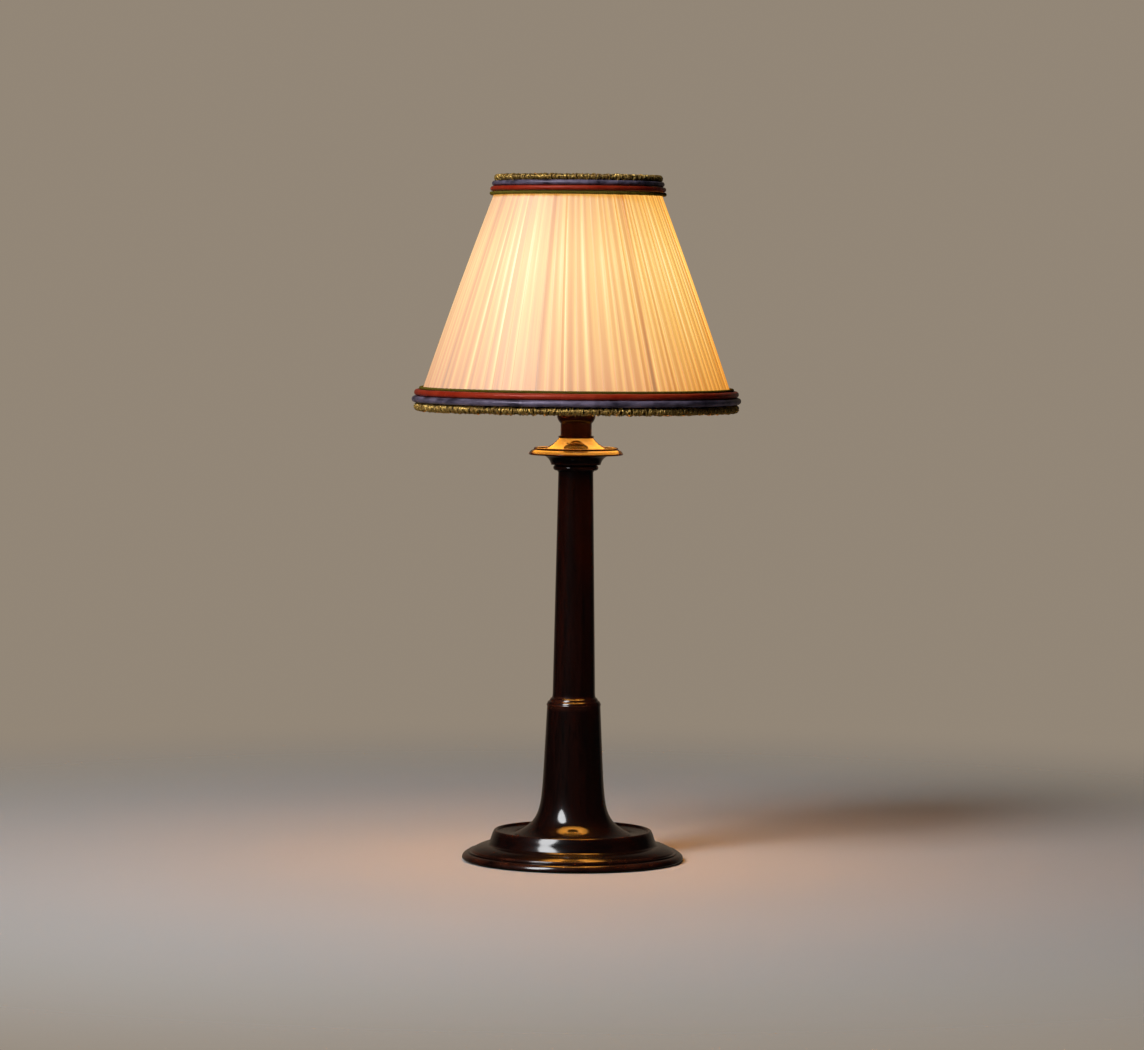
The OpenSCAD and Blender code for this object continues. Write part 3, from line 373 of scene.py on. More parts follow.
class Nodes:
    """A tree of shader nodes, with short ways to add and link them."""

    def __init__(self, tree):
        self.tree = tree

    def put(self, node, inputs):
        """Set or link a node's inputs, given by name or number."""
        for key, value in inputs.items():
            socket = node.inputs[key]
            if isinstance(value, NodeSocket):
                self.tree.links.new(value, socket)
            elif socket.type == "RGBA" and len(value) == 3:
                socket.default_value = (*value, 1)
            else:
                socket.default_value = value

    def node(self, kind, inputs, **settings):
        """Add a node with its settings and inputs."""
        node = self.tree.nodes.new("ShaderNode" + kind)
        for key, value in settings.items():
            setattr(node, key, value)
        self.put(node, inputs)
        return node

    def math(self, operation, *values):
        """Result of a sum on two or three values."""
        return self.node("Math", dict(enumerate(values)), operation=operation).outputs["Value"]

    def ramp(self, factor, *stops):
        """Colours along a value, as pairs of place and colour."""
        node = self.node("ValToRGB", {"Fac": factor})
        elements = node.color_ramp.elements
        while len(elements) < len(stops):
            elements.new(1.0)
        for element, (place, rgb) in zip(list(elements), stops):
            element.position = place
            element.color = (*rgb, 1)
        return node.outputs["Color"]


class Finish(Nodes):
    """The nodes of one material and its shader."""

    def __init__(self, name, **values):
        self.material = bpy.data.materials.new(name)
        self.material.use_nodes = True
        super().__init__(self.material.node_tree)
        self.shader = self.tree.nodes["Principled BSDF"]
        self.done(**values)

    def place(self, scale, source="Object", turn=(0, 0, 0)):
        """Coordinates of the piece, stretched and turned for a pattern."""
        where = self.node("TexCoord", {}).outputs[source]
        return self.node("Mapping", {"Vector": where, "Scale": scale, "Rotation": turn}).outputs["Vector"]

    def noise(self, where, detail=4.0, rough=0.55, warp=0.0):
        """Cloudy value, with more or less fine detail and swirl."""
        return self.node("TexNoise", {"Vector": where, "Scale": 1.0, "Detail": detail, "Roughness": rough,
                                      "Distortion": warp}).outputs["Fac"]

    def attribute(self, name):
        """Number that mark() kept on the points of the piece."""
        return self.node("Attribute", {}, attribute_name=name).outputs["Fac"]

    def spread(self, value, low, high, to_low=0.0, to_high=1.0, **settings):
        """Map a value from one range to another, held at its ends."""
        return self.node("MapRange", {"Value": value, "From Min": low, "From Max": high, "To Min": to_low,
                                      "To Max": to_high}, **settings).outputs["Result"]

    def mix(self, factor, a, b, blend="MIX"):
        """Mix of two colours."""
        node = self.node("Mix", {}, data_type="RGBA", blend_type=blend)
        self.put(node, {0: factor, 6: a, 7: b})
        return node.outputs[2]

    def bump(self, height, strength, distance):
        """Normal that follows a height."""
        return self.node("Bump", {"Height": height, "Strength": strength,
                                  "Distance": distance}).outputs["Normal"]

    def done(self, **inputs):
        """Set the shader's own sockets and give the material back."""
        self.put(self.shader, {key.replace("_", " ").title().replace("Ior", "IOR"): value
                               for key, value in inputs.items()})
        return self.material


def polished_wood(name, colours, across, dull):
    """Dark mahogany under a deep clear polish, grained along the stem or across the foot, with lighter
    rounds: wear and painted reflection.
    """
    f = Finish(name, roughness=0.4, specular_ior_level=0.05, coat_weight=1.0, coat_roughness=dull,
               coat_ior=1.6)
    stretch = (14, 150, 150) if across else (150, 150, 9)
    fine = (90, 900, 900) if across else (900, 900, 60)
    broad = f.noise(f.place(stretch), 5.0, 0.6, 0.8)
    pores = f.noise(f.place(fine), 2.0, 0.5)
    figure = f.ramp(broad, (0.35, colours.wood_dark), (0.72, colours.wood_red))
    dark_pores = f.spread(pores, 0.36, 0.46, 0.35, 1.0)
    grained = f.mix(1.0, figure, dark_pores, "MULTIPLY")
    # Lighter rounds in patches: rubbed wear and a painted reflection of the lit shade
    rubbed_and_glinting = f.math("MULTIPLY", f.attribute("rub_and_glint"), f.spread(f.noise(f.place((60, 60, 60))), 0.35, 0.65))
    return f.done(base_color=f.mix(rubbed_and_glinting, grained, colours.wood_rub_and_glint),
                  coat_normal=f.bump(f.noise(f.place((38, 38, 22)), 2.0), 0.035, 0.002))


def baize_cloth(colours):
    """Green wool cloth with a short raised nap."""
    f = Finish("baize", roughness=0.95, sheen_weight=0.5, sheen_roughness=0.6)
    fibres = f.noise(f.place((900, 900, 900)), 4.0, 0.7)
    patches = f.noise(f.place((45, 45, 45)), 3.0)
    tint = f.mix(patches, colours.baize, tuple(1.7 * c for c in colours.baize))
    return f.done(base_color=f.mix(1.0, tint, f.spread(fibres, 0.3, 0.7, 0.55, 1.3), "MULTIPLY"),
                  normal=f.bump(fibres, 0.6, 0.0006))


def metal(name, rgb, rough, worn):
    """Metal with fine scratches and a dull bloom in patches."""
    f = Finish(name, metallic=1.0)
    bloom = f.noise(f.place((70, 70, 70)), 5.0, 0.65)
    scratches = f.noise(f.place((160, 160, 2600)), 2.0, 0.6)
    dull = f.spread(bloom, 0.42, 0.7)
    wear = f.math("ADD", bloom, f.math("MULTIPLY", scratches, 0.4))
    return f.done(base_color=f.mix(dull, rgb, tuple(c * worn for c in rgb)),
                  roughness=f.spread(wear, 0.5, 1.0, rough, rough + 0.28),
                  normal=f.bump(scratches, 0.12, 0.0002))


def brown_moulding(colours):
    """Brown phenolic moulding with a faint marbling and a soft gloss."""
    f = Finish("moulded_brown", coat_weight=0.4, coat_roughness=0.12)
    marble = f.noise(f.place((140, 140, 140)), 6.0, 0.6, 1.6)
    return f.done(base_color=f.ramp(marble, (0.3, tuple(0.4 * c for c in colours.moulding)),
                                    (0.7, tuple(1.6 * c for c in colours.moulding))),
                  roughness=f.spread(marble, 0.3, 0.7, 0.24, 0.42))


def black_glass():
    """Black glass seal in the bulb's cap, with a few bubbles."""
    f = Finish("black_seal")
    specks = f.noise(f.place((700, 700, 700)), 2.0)
    return f.done(base_color=f.ramp(specks, (0.45, (0.004, 0.004, 0.005)), (0.75, (0.03, 0.03, 0.034))),
                  roughness=f.spread(specks, 0.4, 0.7, 0.08, 0.3))


def pearl_glass(colours, strength):
    """Lit bulb of etched glass, paler in clouds."""
    f = Finish("pearl_glass", base_color=(0.9, 0.88, 0.84), roughness=0.35, emission_strength=strength)
    cloud = f.noise(f.place((60, 60, 60)), 3.0)
    pale = tuple(0.5 + 0.5 * c for c in colours.bulb)
    return f.done(emission_color=f.mix(f.spread(cloud, 0.3, 0.7), colours.bulb, pale))


def clear_glass():
    """Clear glass of the mount inside the bulb."""
    f = Finish("clear_glass", transmission_weight=1.0, ior=1.5)
    ripple = f.noise(f.place((300, 300, 120)), 2.0)
    return f.done(base_color=f.mix(ripple, (0.93, 0.97, 0.96), (0.99, 1.0, 1.0)),
                  roughness=f.spread(ripple, 0.3, 0.7, 0.01, 0.06))


def hot_filament(colours, strength):
    """Coiled filament at full glow."""
    f = Finish("filament", base_color=(0.2, 0.2, 0.2), roughness=0.6, emission_strength=4 * strength)
    coils = f.noise(f.place((4000, 200, 200)), 1.0)
    return f.done(emission_color=f.mix(coils, colours.bulb, (1.0, 0.9, 0.7)))


def painted_wire():
    """Cream paint on the frame's wire, a little yellowed and chipped."""
    f = Finish("frame_wire")
    age = f.noise(f.place((90, 90, 90)), 5.0, 0.65)
    return f.done(base_color=f.ramp(age, (0.28, (0.35, 0.30, 0.22)), (0.36, (0.72, 0.66, 0.52)),
                                    (0.75, (0.80, 0.75, 0.63))),
                  roughness=f.spread(age, 0.3, 0.7, 0.35, 0.6), normal=f.bump(age, 0.2, 0.0004))


def lit_lining(colours, strength):
    """Thin woven lining, lit by the bulb."""
    f = Finish("lining", roughness=0.8, emission_strength=strength)
    warp = f.noise(f.place((0.0, 900.0, 1), "UV"), 2.0)
    weft = f.noise(f.place((1400.0, 0.0, 1), "UV"), 2.0)
    weave = f.math("ADD", f.spread(warp, 0.3, 0.7, 0.44, 0.5), f.spread(weft, 0.3, 0.7, 0.44, 0.5))
    glow = f.math("MULTIPLY", f.attribute("glow"), weave)
    return f.done(base_color=f.mix(weave, (0.55, 0.48, 0.38), (0.88, 0.80, 0.68)),
                  emission_color=f.ramp(glow, (0.0, (0.0, 0.0, 0.0)), (1.0, colours.lining)),
                  normal=f.bump(weave, 0.3, 0.0002))


def lit_silk(colours):
    """Fine silk with slubs, glowing where few layers lie between it and the bulb."""
    f = Finish("silk", roughness=0.5, sheen_weight=0.25, sheen_roughness=0.35, emission_strength=1.0)
    slubs = f.noise(f.place((9.0, 1.2, 1), "UV"), 4.0, 0.6)
    threads = f.noise(f.place((60.0, 7.0, 1), "UV"), 3.0, 0.65)
    weave = f.math("ADD", f.math("MULTIPLY", slubs, 0.55), f.math("MULTIPLY", threads, 0.45))
    streaks = f.noise(f.place((3.3, 0.5, 1), "UV"), 3.0, 0.6)
    through = f.math("MULTIPLY", f.spread(weave, 0.3, 0.7, 0.9, 1.1), f.spread(streaks, 0.3, 0.7, 0.79, 1.18))
    glow = f.math("MULTIPLY", f.attribute("glow"), through)
    return f.done(base_color=f.mix(slubs, colours.silk, tuple(0.9 * c for c in colours.silk)),
                  emission_color=f.ramp(glow, (0.0, (0.0, 0.0, 0.0)), (0.4, colours.silk_shadow),
                                        (0.75, colours.silk_glow), (1.0, colours.silk_bright)),
                  normal=f.bump(threads, 0.25, 0.0002))


def satin(name, rgb, pale):
    """Bias-cut satin over a piping cord, with fine slanting threads, a soft sheen and patches of painted
    sheen in its colour.
    """
    f = Finish(name, sheen_weight=0.1, sheen_roughness=0.35, sheen_tint=pale, specular_ior_level=0.7,
               specular_tint=tuple(0.3 + 0.7 * c / max(pale) for c in pale))
    threads = f.noise(f.place((1500.0, 60.0, 1), "UV", (0, 0, 0.03)), 2.0, 0.6)
    patches = f.noise(f.place((40.0, 2.0, 1), "UV"), 4.0, 0.6)
    creases = f.noise(f.place((120.0, 2.5, 1), "UV", (0, 0, 0.012)), 3.0, 0.6, 0.6)
    # Patches of the colour mixed halfway to the sheen colour: painted sheen
    tint = f.mix(f.spread(patches, 0.38, 0.62), rgb, tuple(0.5 * a + 0.5 * b for a, b in zip(rgb, pale)))
    return f.done(base_color=f.mix(1.0, tint, f.spread(threads, 0.3, 0.7, 0.72, 1.2), "MULTIPLY"),
                  roughness=f.spread(patches, 0.3, 0.7, 0.3, 0.46),
                  normal=f.bump(f.math("ADD", creases, f.math("MULTIPLY", threads, 0.06)), 0.6, 0.0012))


def twisted_thread(colours):
    """Olive thread of the thin cords."""
    f = Finish("green_cord", roughness=0.7, specular_ior_level=0.2)
    fibres = f.noise(f.place((900, 900, 900)), 4.0, 0.65)
    dark, pale = (tuple(k * c for c in colours.green) for k in (0.45, 1.6))
    return f.done(base_color=f.mix(fibres, dark, pale), normal=f.bump(fibres, 0.5, 0.0003))


def metal_thread(colours):
    """Gilt metal thread, bright on its loops, with painted shade in brown near the core and on the tape
    behind them.
    """
    f = Finish("gold_braid")
    turns = f.noise(f.place((1300, 1300, 1300)), 3.0, 0.6)
    tarnish = f.noise(f.place((240, 240, 240)), 4.0, 0.65)
    # Brown towards the core and on the tape: painted shade
    unshaded = f.spread(f.math("ADD", f.attribute("depth"), f.math("MULTIPLY", turns, 0.3)), 0.7, 1.1)
    brown = tuple(c * k for c, k in zip(colours.gold, (0.045, 0.034, 0.024)))
    dull = tuple(c * k for c, k in zip(colours.gold, (0.4, 0.34, 0.25)))
    fresh = f.mix(f.spread(tarnish, 0.44, 0.58), colours.gold, dull)
    return f.done(base_color=f.mix(unshaded, brown, fresh), metallic=f.spread(tarnish, 0.4, 0.62, 0.85, 0.25),
                  roughness=f.spread(turns, 0.3, 0.7, 0.2, 0.36), normal=f.bump(turns, 0.4, 0.0003))


# Operators

class LampOperator(Operator):
    """Base of the lamp's operators, with its settings at hand"""
    bl_options = {"REGISTER", "UNDO"}

    @property
    def stand(self):
        return bpy.context.scene.lamp_stand

    @property
    def shade(self):
        return bpy.context.scene.lamp_shade

    @property
    def colours(self):
        return bpy.context.scene.lamp_colours

    @property
    def stage(self):
        return bpy.context.scene.lamp_stage


def rub_and_glint(piece, rounds):
    """Mark the rounds of a turned piece, given as (radius, height, width), where the wood is lighter: rubbed
    wear and a painted reflection of the lit shade.
    """
    values = []
    for v in piece.data.vertices:
        r = math.hypot(v.co.x, v.co.y)
        values.append(max(math.exp(-((r - a) ** 2 + (v.co.z - z) ** 2) / w ** 2) for a, z, w in rounds))
    mark(piece, "rub_and_glint", values)


class LAMP_OT_baize(LampOperator):
    """Lay the round of baize under the foot"""
    bl_idname = "lamp.baize"
    bl_label = "Baize"

    def execute(self, context):
        low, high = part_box("baize_pad")
        r, top = high.x, high.z
        nap = 0.3 * (top - low.z)
        outline = [(0, 0), *arc((r - nap, nap), nap, -90, 0, 4), *arc((r - nap, top - nap), nap, 0, 90, 4)]
        rings = [(r * (1 - i / 8), top) for i in range(1, 8)]
        piece = turned("baize", outline + rings + [(0, top)], 96)
        set_in(piece, baize_cloth(self.colours), "stand", "baize", "baize_pad")
        return {"FINISHED"}


class LAMP_OT_foot(LampOperator):
    """Turn the round foot with its dish and bore the hole in its back"""
    bl_idname = "lamp.foot"
    bl_label = "Foot"

    def execute(self, context):
        s = self.stand
        low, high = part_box("base_foot")
        foot_r, foot_z, rim_z = high.x, low.z, high.z
        floor_z = rim_z - s.dish_depth
        ceiling_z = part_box("lower_stem")[0].z
        toe_z = foot_z + s.toe_h
        toe_top_z = toe_z + s.toe_r
        fillet_r = foot_r - s.toe_r - s.fillet_step
        fillet_z = toe_top_z + s.fillet_h
        shelf_r = fillet_r - s.shelf_step
        slope, lean = s.shelf_slope, s.drum_lean
        cove_mid = (shelf_r - s.shelf_h * (1 - math.sin(slope)) - s.shelf_w + s.cove_r * math.sin(slope),
                    fillet_z + (s.shelf_h + s.cove_r) * math.cos(slope) + s.shelf_w * math.tan(slope))
        drum_r = cove_mid[0] - s.cove_r * math.cos(lean)
        drum_z = cove_mid[1] - s.cove_r * math.sin(lean)
        wall_h = rim_z - s.rim_r * (1 - math.sin(lean)) - drum_z
        rim_r = drum_r - wall_h * math.tan(lean) - s.rim_r * math.cos(lean)
        ends = lean + s.drum_sway
        edge_slope, cove_slope = slope + s.shelf_swell, slope - s.shelf_swell
        edge = arc((shelf_r - s.shelf_h, fillet_z), s.shelf_h, 0, 90 - math.degrees(edge_slope), 8)
        cove = arc(cove_mid, s.cove_r, 270 - math.degrees(cove_slope), 180 + math.degrees(ends), 16)
        bulge = math.dist(edge[-1], cove[0]) * math.tan(s.shelf_swell) / 4
        shelf = swelled(edge[-1], cove[0], -bulge)[1:-1]
        rim = arc((rim_r, rim_z - s.rim_r), s.rim_r, math.degrees(ends), 180, 14)
        dish_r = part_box("lower_stem")[1].x + s.dish_flat
        hole_r = s.foot_spigot_r + s.glue_gap
        outline = [
            (hole_r, floor_z), (hole_r, ceiling_z), (s.recess_r, ceiling_z), (s.recess_r, foot_z),
            (foot_r - s.toe_h, foot_z),
            *arc((foot_r - s.toe_r, toe_z), s.toe_r, 0, 90, 16),
            (fillet_r, toe_top_z), (fillet_r, fillet_z), (shelf_r, fillet_z),
            *edge, *shelf, *cove, *swayed(cove[-1], rim[0], ends), *rim,
            *swelled((rim_r - s.rim_r, rim_z - s.rim_r), (dish_r, floor_z), s.swell),
        ]
        piece = turned("foot", outline, s.steps)
        self.bore(piece)
        rub_and_glint(piece, [(rim_r, rim_z, 1.6 * MM), (shelf_r, fillet_z + s.shelf_h / 2, 1.2 * MM),
                    (foot_r - 0.3 * s.toe_r, toe_top_z - 0.3 * s.toe_r, 2.0 * MM)])
        wood = polished_wood("polished_wood_foot", self.colours, True, 0.14)
        set_in(piece, wood, "stand", "polished_wood", "base_foot")
        return {"FINISHED"}

    def bore(self, piece):
        """Cut the hole for the cord bush from the back into the recess."""
        low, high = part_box("cord_bush")
        drill_len, past_bush = 100 * MM, 12 * MM
        clear_selection()
        bpy.ops.mesh.primitive_cylinder_add(
            vertices=48, radius=self.stand.cord_hole_r, depth=drill_len,
            location=(0, low.y + past_bush, (low.z + high.z) / 2), rotation=(math.pi / 2, 0, 0))
        drill = bpy.context.object
        bpy.ops.object.transform_apply(location=True, rotation=True, scale=True)
        modified(piece, "BOOLEAN", object=drill, operation="DIFFERENCE", solver="EXACT")
        bpy.data.objects.remove(drill)
        select_only(piece)
        bpy.ops.object.shade_smooth_by_angle(angle=math.radians(WOOD_CREASE))


class LAMP_OT_stems(LampOperator):
    """Turn the flared lower stem and the tapered upper stem"""
    bl_idname = "lamp.stems"
    bl_label = "Stems"

    def execute(self, context):
        wood = polished_wood("polished_wood_stem", self.colours, False, 0.12)
        set_in(self.lower(), wood, "stand", "polished_wood", "lower_stem")
        set_in(self.upper(), wood, "stand", "polished_wood", "upper_stem")
        return {"FINISHED"}

    def lower(self):
        """Lower stem, flared at the dish and moulded at its shoulder."""
        s = self.stand
        low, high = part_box("lower_stem")
        ceiling_z, shoulder_z = low.z, high.z
        floor_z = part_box("base_foot")[1].z - s.dish_depth
        lip_z = shoulder_z - s.shoulder_h - s.lip_h
        lip_r = s.lower_d / 2 + s.quirk
        mid = ((lip_r + s.shoulder_d / 2 + s.quirk) / 2, shoulder_z - s.shoulder_h / 2)
        rise = lip_z - floor_z
        rings = 56
        flare = []
        for i in range(rings + 1):
            h = s.flare_edge + (rise - s.flare_edge) * (i / rings) ** 2
            taper = (s.lower_d + (s.lower_foot_d - s.lower_d) * (1 - h / rise)) / 2
            flare.append((taper + s.flare_w * math.exp(-h / s.flare_fall), floor_z + h))
        socket_z = shoulder_z - s.spigot_len - s.socket_gap
        outline = [
            (s.bore_r, ceiling_z), (s.foot_spigot_r, ceiling_z), (s.foot_spigot_r, floor_z),
            (flare[0][0], floor_z), *flare,
            *swelled((lip_r, lip_z), (lip_r, lip_z + s.lip_h), -s.quirk, 8),
            *swelled((lip_r - s.quirk, lip_z + s.lip_h), mid, -s.swell, 10),
            *swelled((mid[0] - s.quirk, mid[1]), (s.shoulder_d / 2, shoulder_z), -s.swell, 10),
            (s.spigot_r, shoulder_z), (s.spigot_r, socket_z), (s.bore_r, socket_z),
        ]
        piece = turned("lower_stem_turned", outline, s.steps)
        rub_and_glint(piece, [(lip_r + s.quirk, lip_z + s.lip_h / 2, 1.1 * MM),
                    (mid[0] + s.swell, mid[1] + s.lip_h / 2, 1.0 * MM)])
        return piece

    def upper(self):
        """Upper stem, a taper with a small spread at its bottom."""
        s = self.stand
        low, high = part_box("upper_stem")
        foot_z, top_z = low.z + s.spigot_len, high.z - s.spigot_len
        foot_r = s.upper_foot_d / 2
        flare_z = foot_z + s.upper_flare_h
        rings = 30
        shaft = [(foot_r + (s.upper_top_d / 2 - foot_r) * i / rings, flare_z + (top_z - flare_z) * i / rings)
                 for i in range(1, rings + 1)]
        outline = [
            (s.bore_r, low.z), (s.spigot_r, low.z), (s.spigot_r, foot_z),
            *swelled((foot_r + s.swell, foot_z), (foot_r, flare_z), s.quirk / 2, 8), *shaft,
            (s.spigot_r, top_z), (s.spigot_r, high.z), (s.bore_r, high.z),
        ]
        piece = turned("upper_stem_turned", outline, s.steps)
        rub_and_glint(piece, [(foot_r + s.swell, foot_z, 1.0 * MM)])
        return piece


class LAMP_OT_pan(LampOperator):
    """Turn the capital, the drip pan and the nozzle"""
    bl_idname = "lamp.pan"
    bl_label = "Capital, pan and nozzle"

    def execute(self, context):
        flat = polished_wood("polished_wood_pan", self.colours, True, 0.055)
        upright = polished_wood("polished_wood_nozzle", self.colours, False, 0.055)
        set_in(self.capital(), upright, "stand", "polished_wood", "capital")
        set_in(self.pan(), flat, "stand", "polished_wood", "drip_pan")
        set_in(self.nozzle(), upright, "stand", "polished_wood", "nozzle")
        return {"FINISHED"}

    def capital(self):
        """Capital: a bead, a fillet and a cavetto."""
        s = self.stand
        low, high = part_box("capital")
        bottom_r = s.upper_top_d / 2 + s.swell + s.quirk
        bead_z = low.z + s.capital_neck_h
        step_z = bead_z + s.bead_h + s.quirk
        step_top_z = step_z + s.bead_fillet_h
        bead_in_r = (s.bead_d - s.bead_h) / 2
        step_r = s.bead_fillet_d / 2
        socket_z = low.z + s.spigot_len + s.socket_gap
        outline = [
            (s.spigot_r, low.z), (bottom_r, low.z), (bottom_r, bead_z),
            *arc((bead_in_r, bead_z + s.bead_h / 2), s.bead_h / 2, -90, 90, 16),
            (bead_in_r, step_z), (step_r, step_z), (step_r, step_top_z),
            *swelled((step_r + s.quirk, step_top_z), (high.x, high.z), 2 * s.swell, 14),
            (s.bore_r, high.z), (s.bore_r, socket_z), (s.spigot_r, socket_z),
        ]
        piece = turned("capital_turned", outline, s.steps)
        rub_and_glint(piece, [(bead_in_r + s.bead_h / 2, bead_z + s.bead_h / 2, 1.4 * MM),
                    (step_r, step_top_z, 0.8 * MM)])
        return piece

    def pan(self):
        """Drip pan: a rounded edge, a bevelled lip, a hollow and a cone."""
        s = self.stand
        low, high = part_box("drip_pan")
        pan_z, nozzle_z = low.z, high.z - s.spigot_len
        edge_r, lip_round = s.pan_edge / 2, s.pan_lip_w / 2
        edge = (high.x - edge_r, pan_z + s.pan_rise + edge_r)
        lip = (s.pan_lip_d / 2 - lip_round, pan_z + s.pan_lip_h - lip_round)
        bevel_top = (s.pan_lip_d / 2, lip[1] - s.pan_lip_face)
        cone_foot = (s.cone_d / 2, pan_z + s.pan_lip_h + s.swell + s.quirk)
        cone_top_z = pan_z + s.cone_h
        outline = [
            (s.bore_r, pan_z),
            *swelled((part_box("capital")[1].x, pan_z), (edge[0], edge[1] - edge_r), s.swell, 10),
            *arc(edge, edge_r, -90, 30, 8),
            *swelled((edge[0] + edge_r / 2, edge[1] + edge_r), (bevel_top[0] + s.quirk, bevel_top[1]),
                     -s.swell, 10),
            bevel_top, *arc(lip, lip_round, 0, 180, 10),
            *swelled((lip[0] - lip_round, lip[1] - s.swell), cone_foot, 2 * s.swell, 14),
            *swelled(cone_foot, (s.cone_top_d / 2, cone_top_z), 2 * s.swell, 14)[1:],
            (s.disc_d / 2, cone_top_z), (s.disc_d / 2, nozzle_z), (s.neck_spigot_r, nozzle_z),
            (s.neck_spigot_r, high.z), (s.bore_r, high.z),
        ]
        piece = turned("drip_pan_turned", outline, s.steps)
        rub_and_glint(piece, [(edge[0] + edge_r, edge[1], 0.9 * MM), (lip[0], lip[1] + lip_round, 0.9 * MM)])
        return piece

    def nozzle(self):
        """Nozzle: a neck that spreads to a bevelled cup."""
        s = self.stand
        low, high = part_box("nozzle")
        neck_z = low.z + s.neck_h
        neck_r, cup_r = s.neck_d / 2, high.x
        socket_z = low.z + s.spigot_len + s.socket_gap
        outline = [
            (s.neck_spigot_r, low.z), (neck_r, low.z), (neck_r, neck_z - s.cup_rise / 2),
            *swelled((neck_r, neck_z), (cup_r, neck_z + s.cup_rise), -s.swell, 14),
            (cup_r, high.z - s.cup_bevel), (cup_r - s.cup_bevel, high.z), (s.bore_r, high.z),
            (s.bore_r, socket_z), (s.neck_spigot_r, socket_z),
        ]
        piece = turned("nozzle_turned", outline, s.steps)
        rub_and_glint(piece, [(cup_r - s.cup_bevel / 2, high.z - s.cup_bevel / 2, 0.9 * MM)])
        return piece


class LAMP_OT_fittings(LampOperator):
    """Give the lampholder, the tie rod and the frame their finishes"""
    bl_idname = "lamp.fittings"
    bl_label = "Fittings"

    def execute(self, context):
        c = self.colours
        finishes = {
            metal("brass", c.brass, 0.18, 0.6): (
                "cord_bush", "tie_tube", "neck_washer", "holder_cap", "holder_skirt", "shade_ring_lower",
                "shade_ring_upper", "terminal_screws", "contact_plungers", "carrier_ring", "carrier_arms"),
            metal("steel", c.steel, 0.3, 0.7): ("tie_washer", "tie_nut", "locking_screw"),
            metal("spring_wire", c.steel, 0.24, 0.75): ("plunger_springs",),
            brown_moulding(c): ("holder_core", "switch_bar"),
            metal("cap_metal", c.tin, 0.26, 0.75): ("bulb_cap", "bulb_contacts"),
            black_glass(): ("bulb_seal",),
            pearl_glass(c, self.stage.bulb_power): ("bulb_glass",),
            clear_glass(): ("bulb_stem",),
            hot_filament(c, self.stage.bulb_power): ("bulb_filament",),
            painted_wire(): ("frame_top_ring", "frame_bottom_ring", "frame_struts"),
        }
        for material, nodes in finishes.items():
            for node in nodes:
                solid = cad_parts[node]
                solid.data.materials.clear()
                solid.data.materials.append(material)
        return {"FINISHED"}


def bulb_middle():
    """Middle of the bulb's round glass."""
    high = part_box("bulb_glass")[1]
    return Vector((0, 0, high.z - high.x))


class LAMP_OT_lining(LampOperator):
    """Stretch the lining inside the frame and turn it under the bottom ring"""
    bl_idname = "lamp.lining"
    bl_label = "Lining"

    # Degrees round the bottom ring's wire: from the end of the slope to the hem's start, and the hem's end
    HEM_START, HEM_END = 8, 300
    # Distance from the bulb that gets its full light, in radii of the top ring, and how fast it falls off
    FULL_LIGHT, FALL_OFF = 1.15, 0.9

    def execute(self, context):
        s = self.shade
        cone = Cone()
        top_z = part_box("shade_lining")[1].z
        rows = 24
        slope = [(cone.radius(z, -s.lining_skin), z)
                 for z in (top_z + (cone.low_z - top_z) * i / rows for i in range(rows + 1))]
        start = 180 + math.degrees(cone.angle) + self.HEM_START
        hem = arc((cone.low_r, cone.low_z), s.lining_skin, start, self.HEM_END)
        piece = spun(drawn_line("lining_cloth", slope[:-1] + hem), CLOTH_STEPS, CLOTH_CREASE)
        modified(piece, "SOLIDIFY", thickness=s.lining_t, offset=0.0)
        bulb = bulb_middle()
        points = [v.co.copy() for v in piece.data.vertices]
        mark(piece, "glow", [self.lit(co, cone, bulb) for co in points])
        lay_out(piece, [(math.atan2(co.y, co.x) / TURN, co.z) for co in points])
        set_in(piece, lit_lining(self.colours, self.stage.lining_power), "shade", "lining", "shade_lining")
        return {"FINISHED"}

    def lit(self, co, cone, bulb):
        """Light from the bulb at a point of the lining: none on its outside, at its top or on its hem."""
        inside = math.hypot(co.x, co.y) < cone.radius(co.z, -self.shade.lining_skin)
        below_top = co.z < cone.top_z - 2 * cone.wire
        above_hem = min(1.0, max(0.0, (co.z - cone.low_z) / cone.wire))
        near = min(1.0, (self.FULL_LIGHT * cone.top_r / (co - bulb).length) ** self.FALL_OFF)
        return inside * below_top * above_hem * near


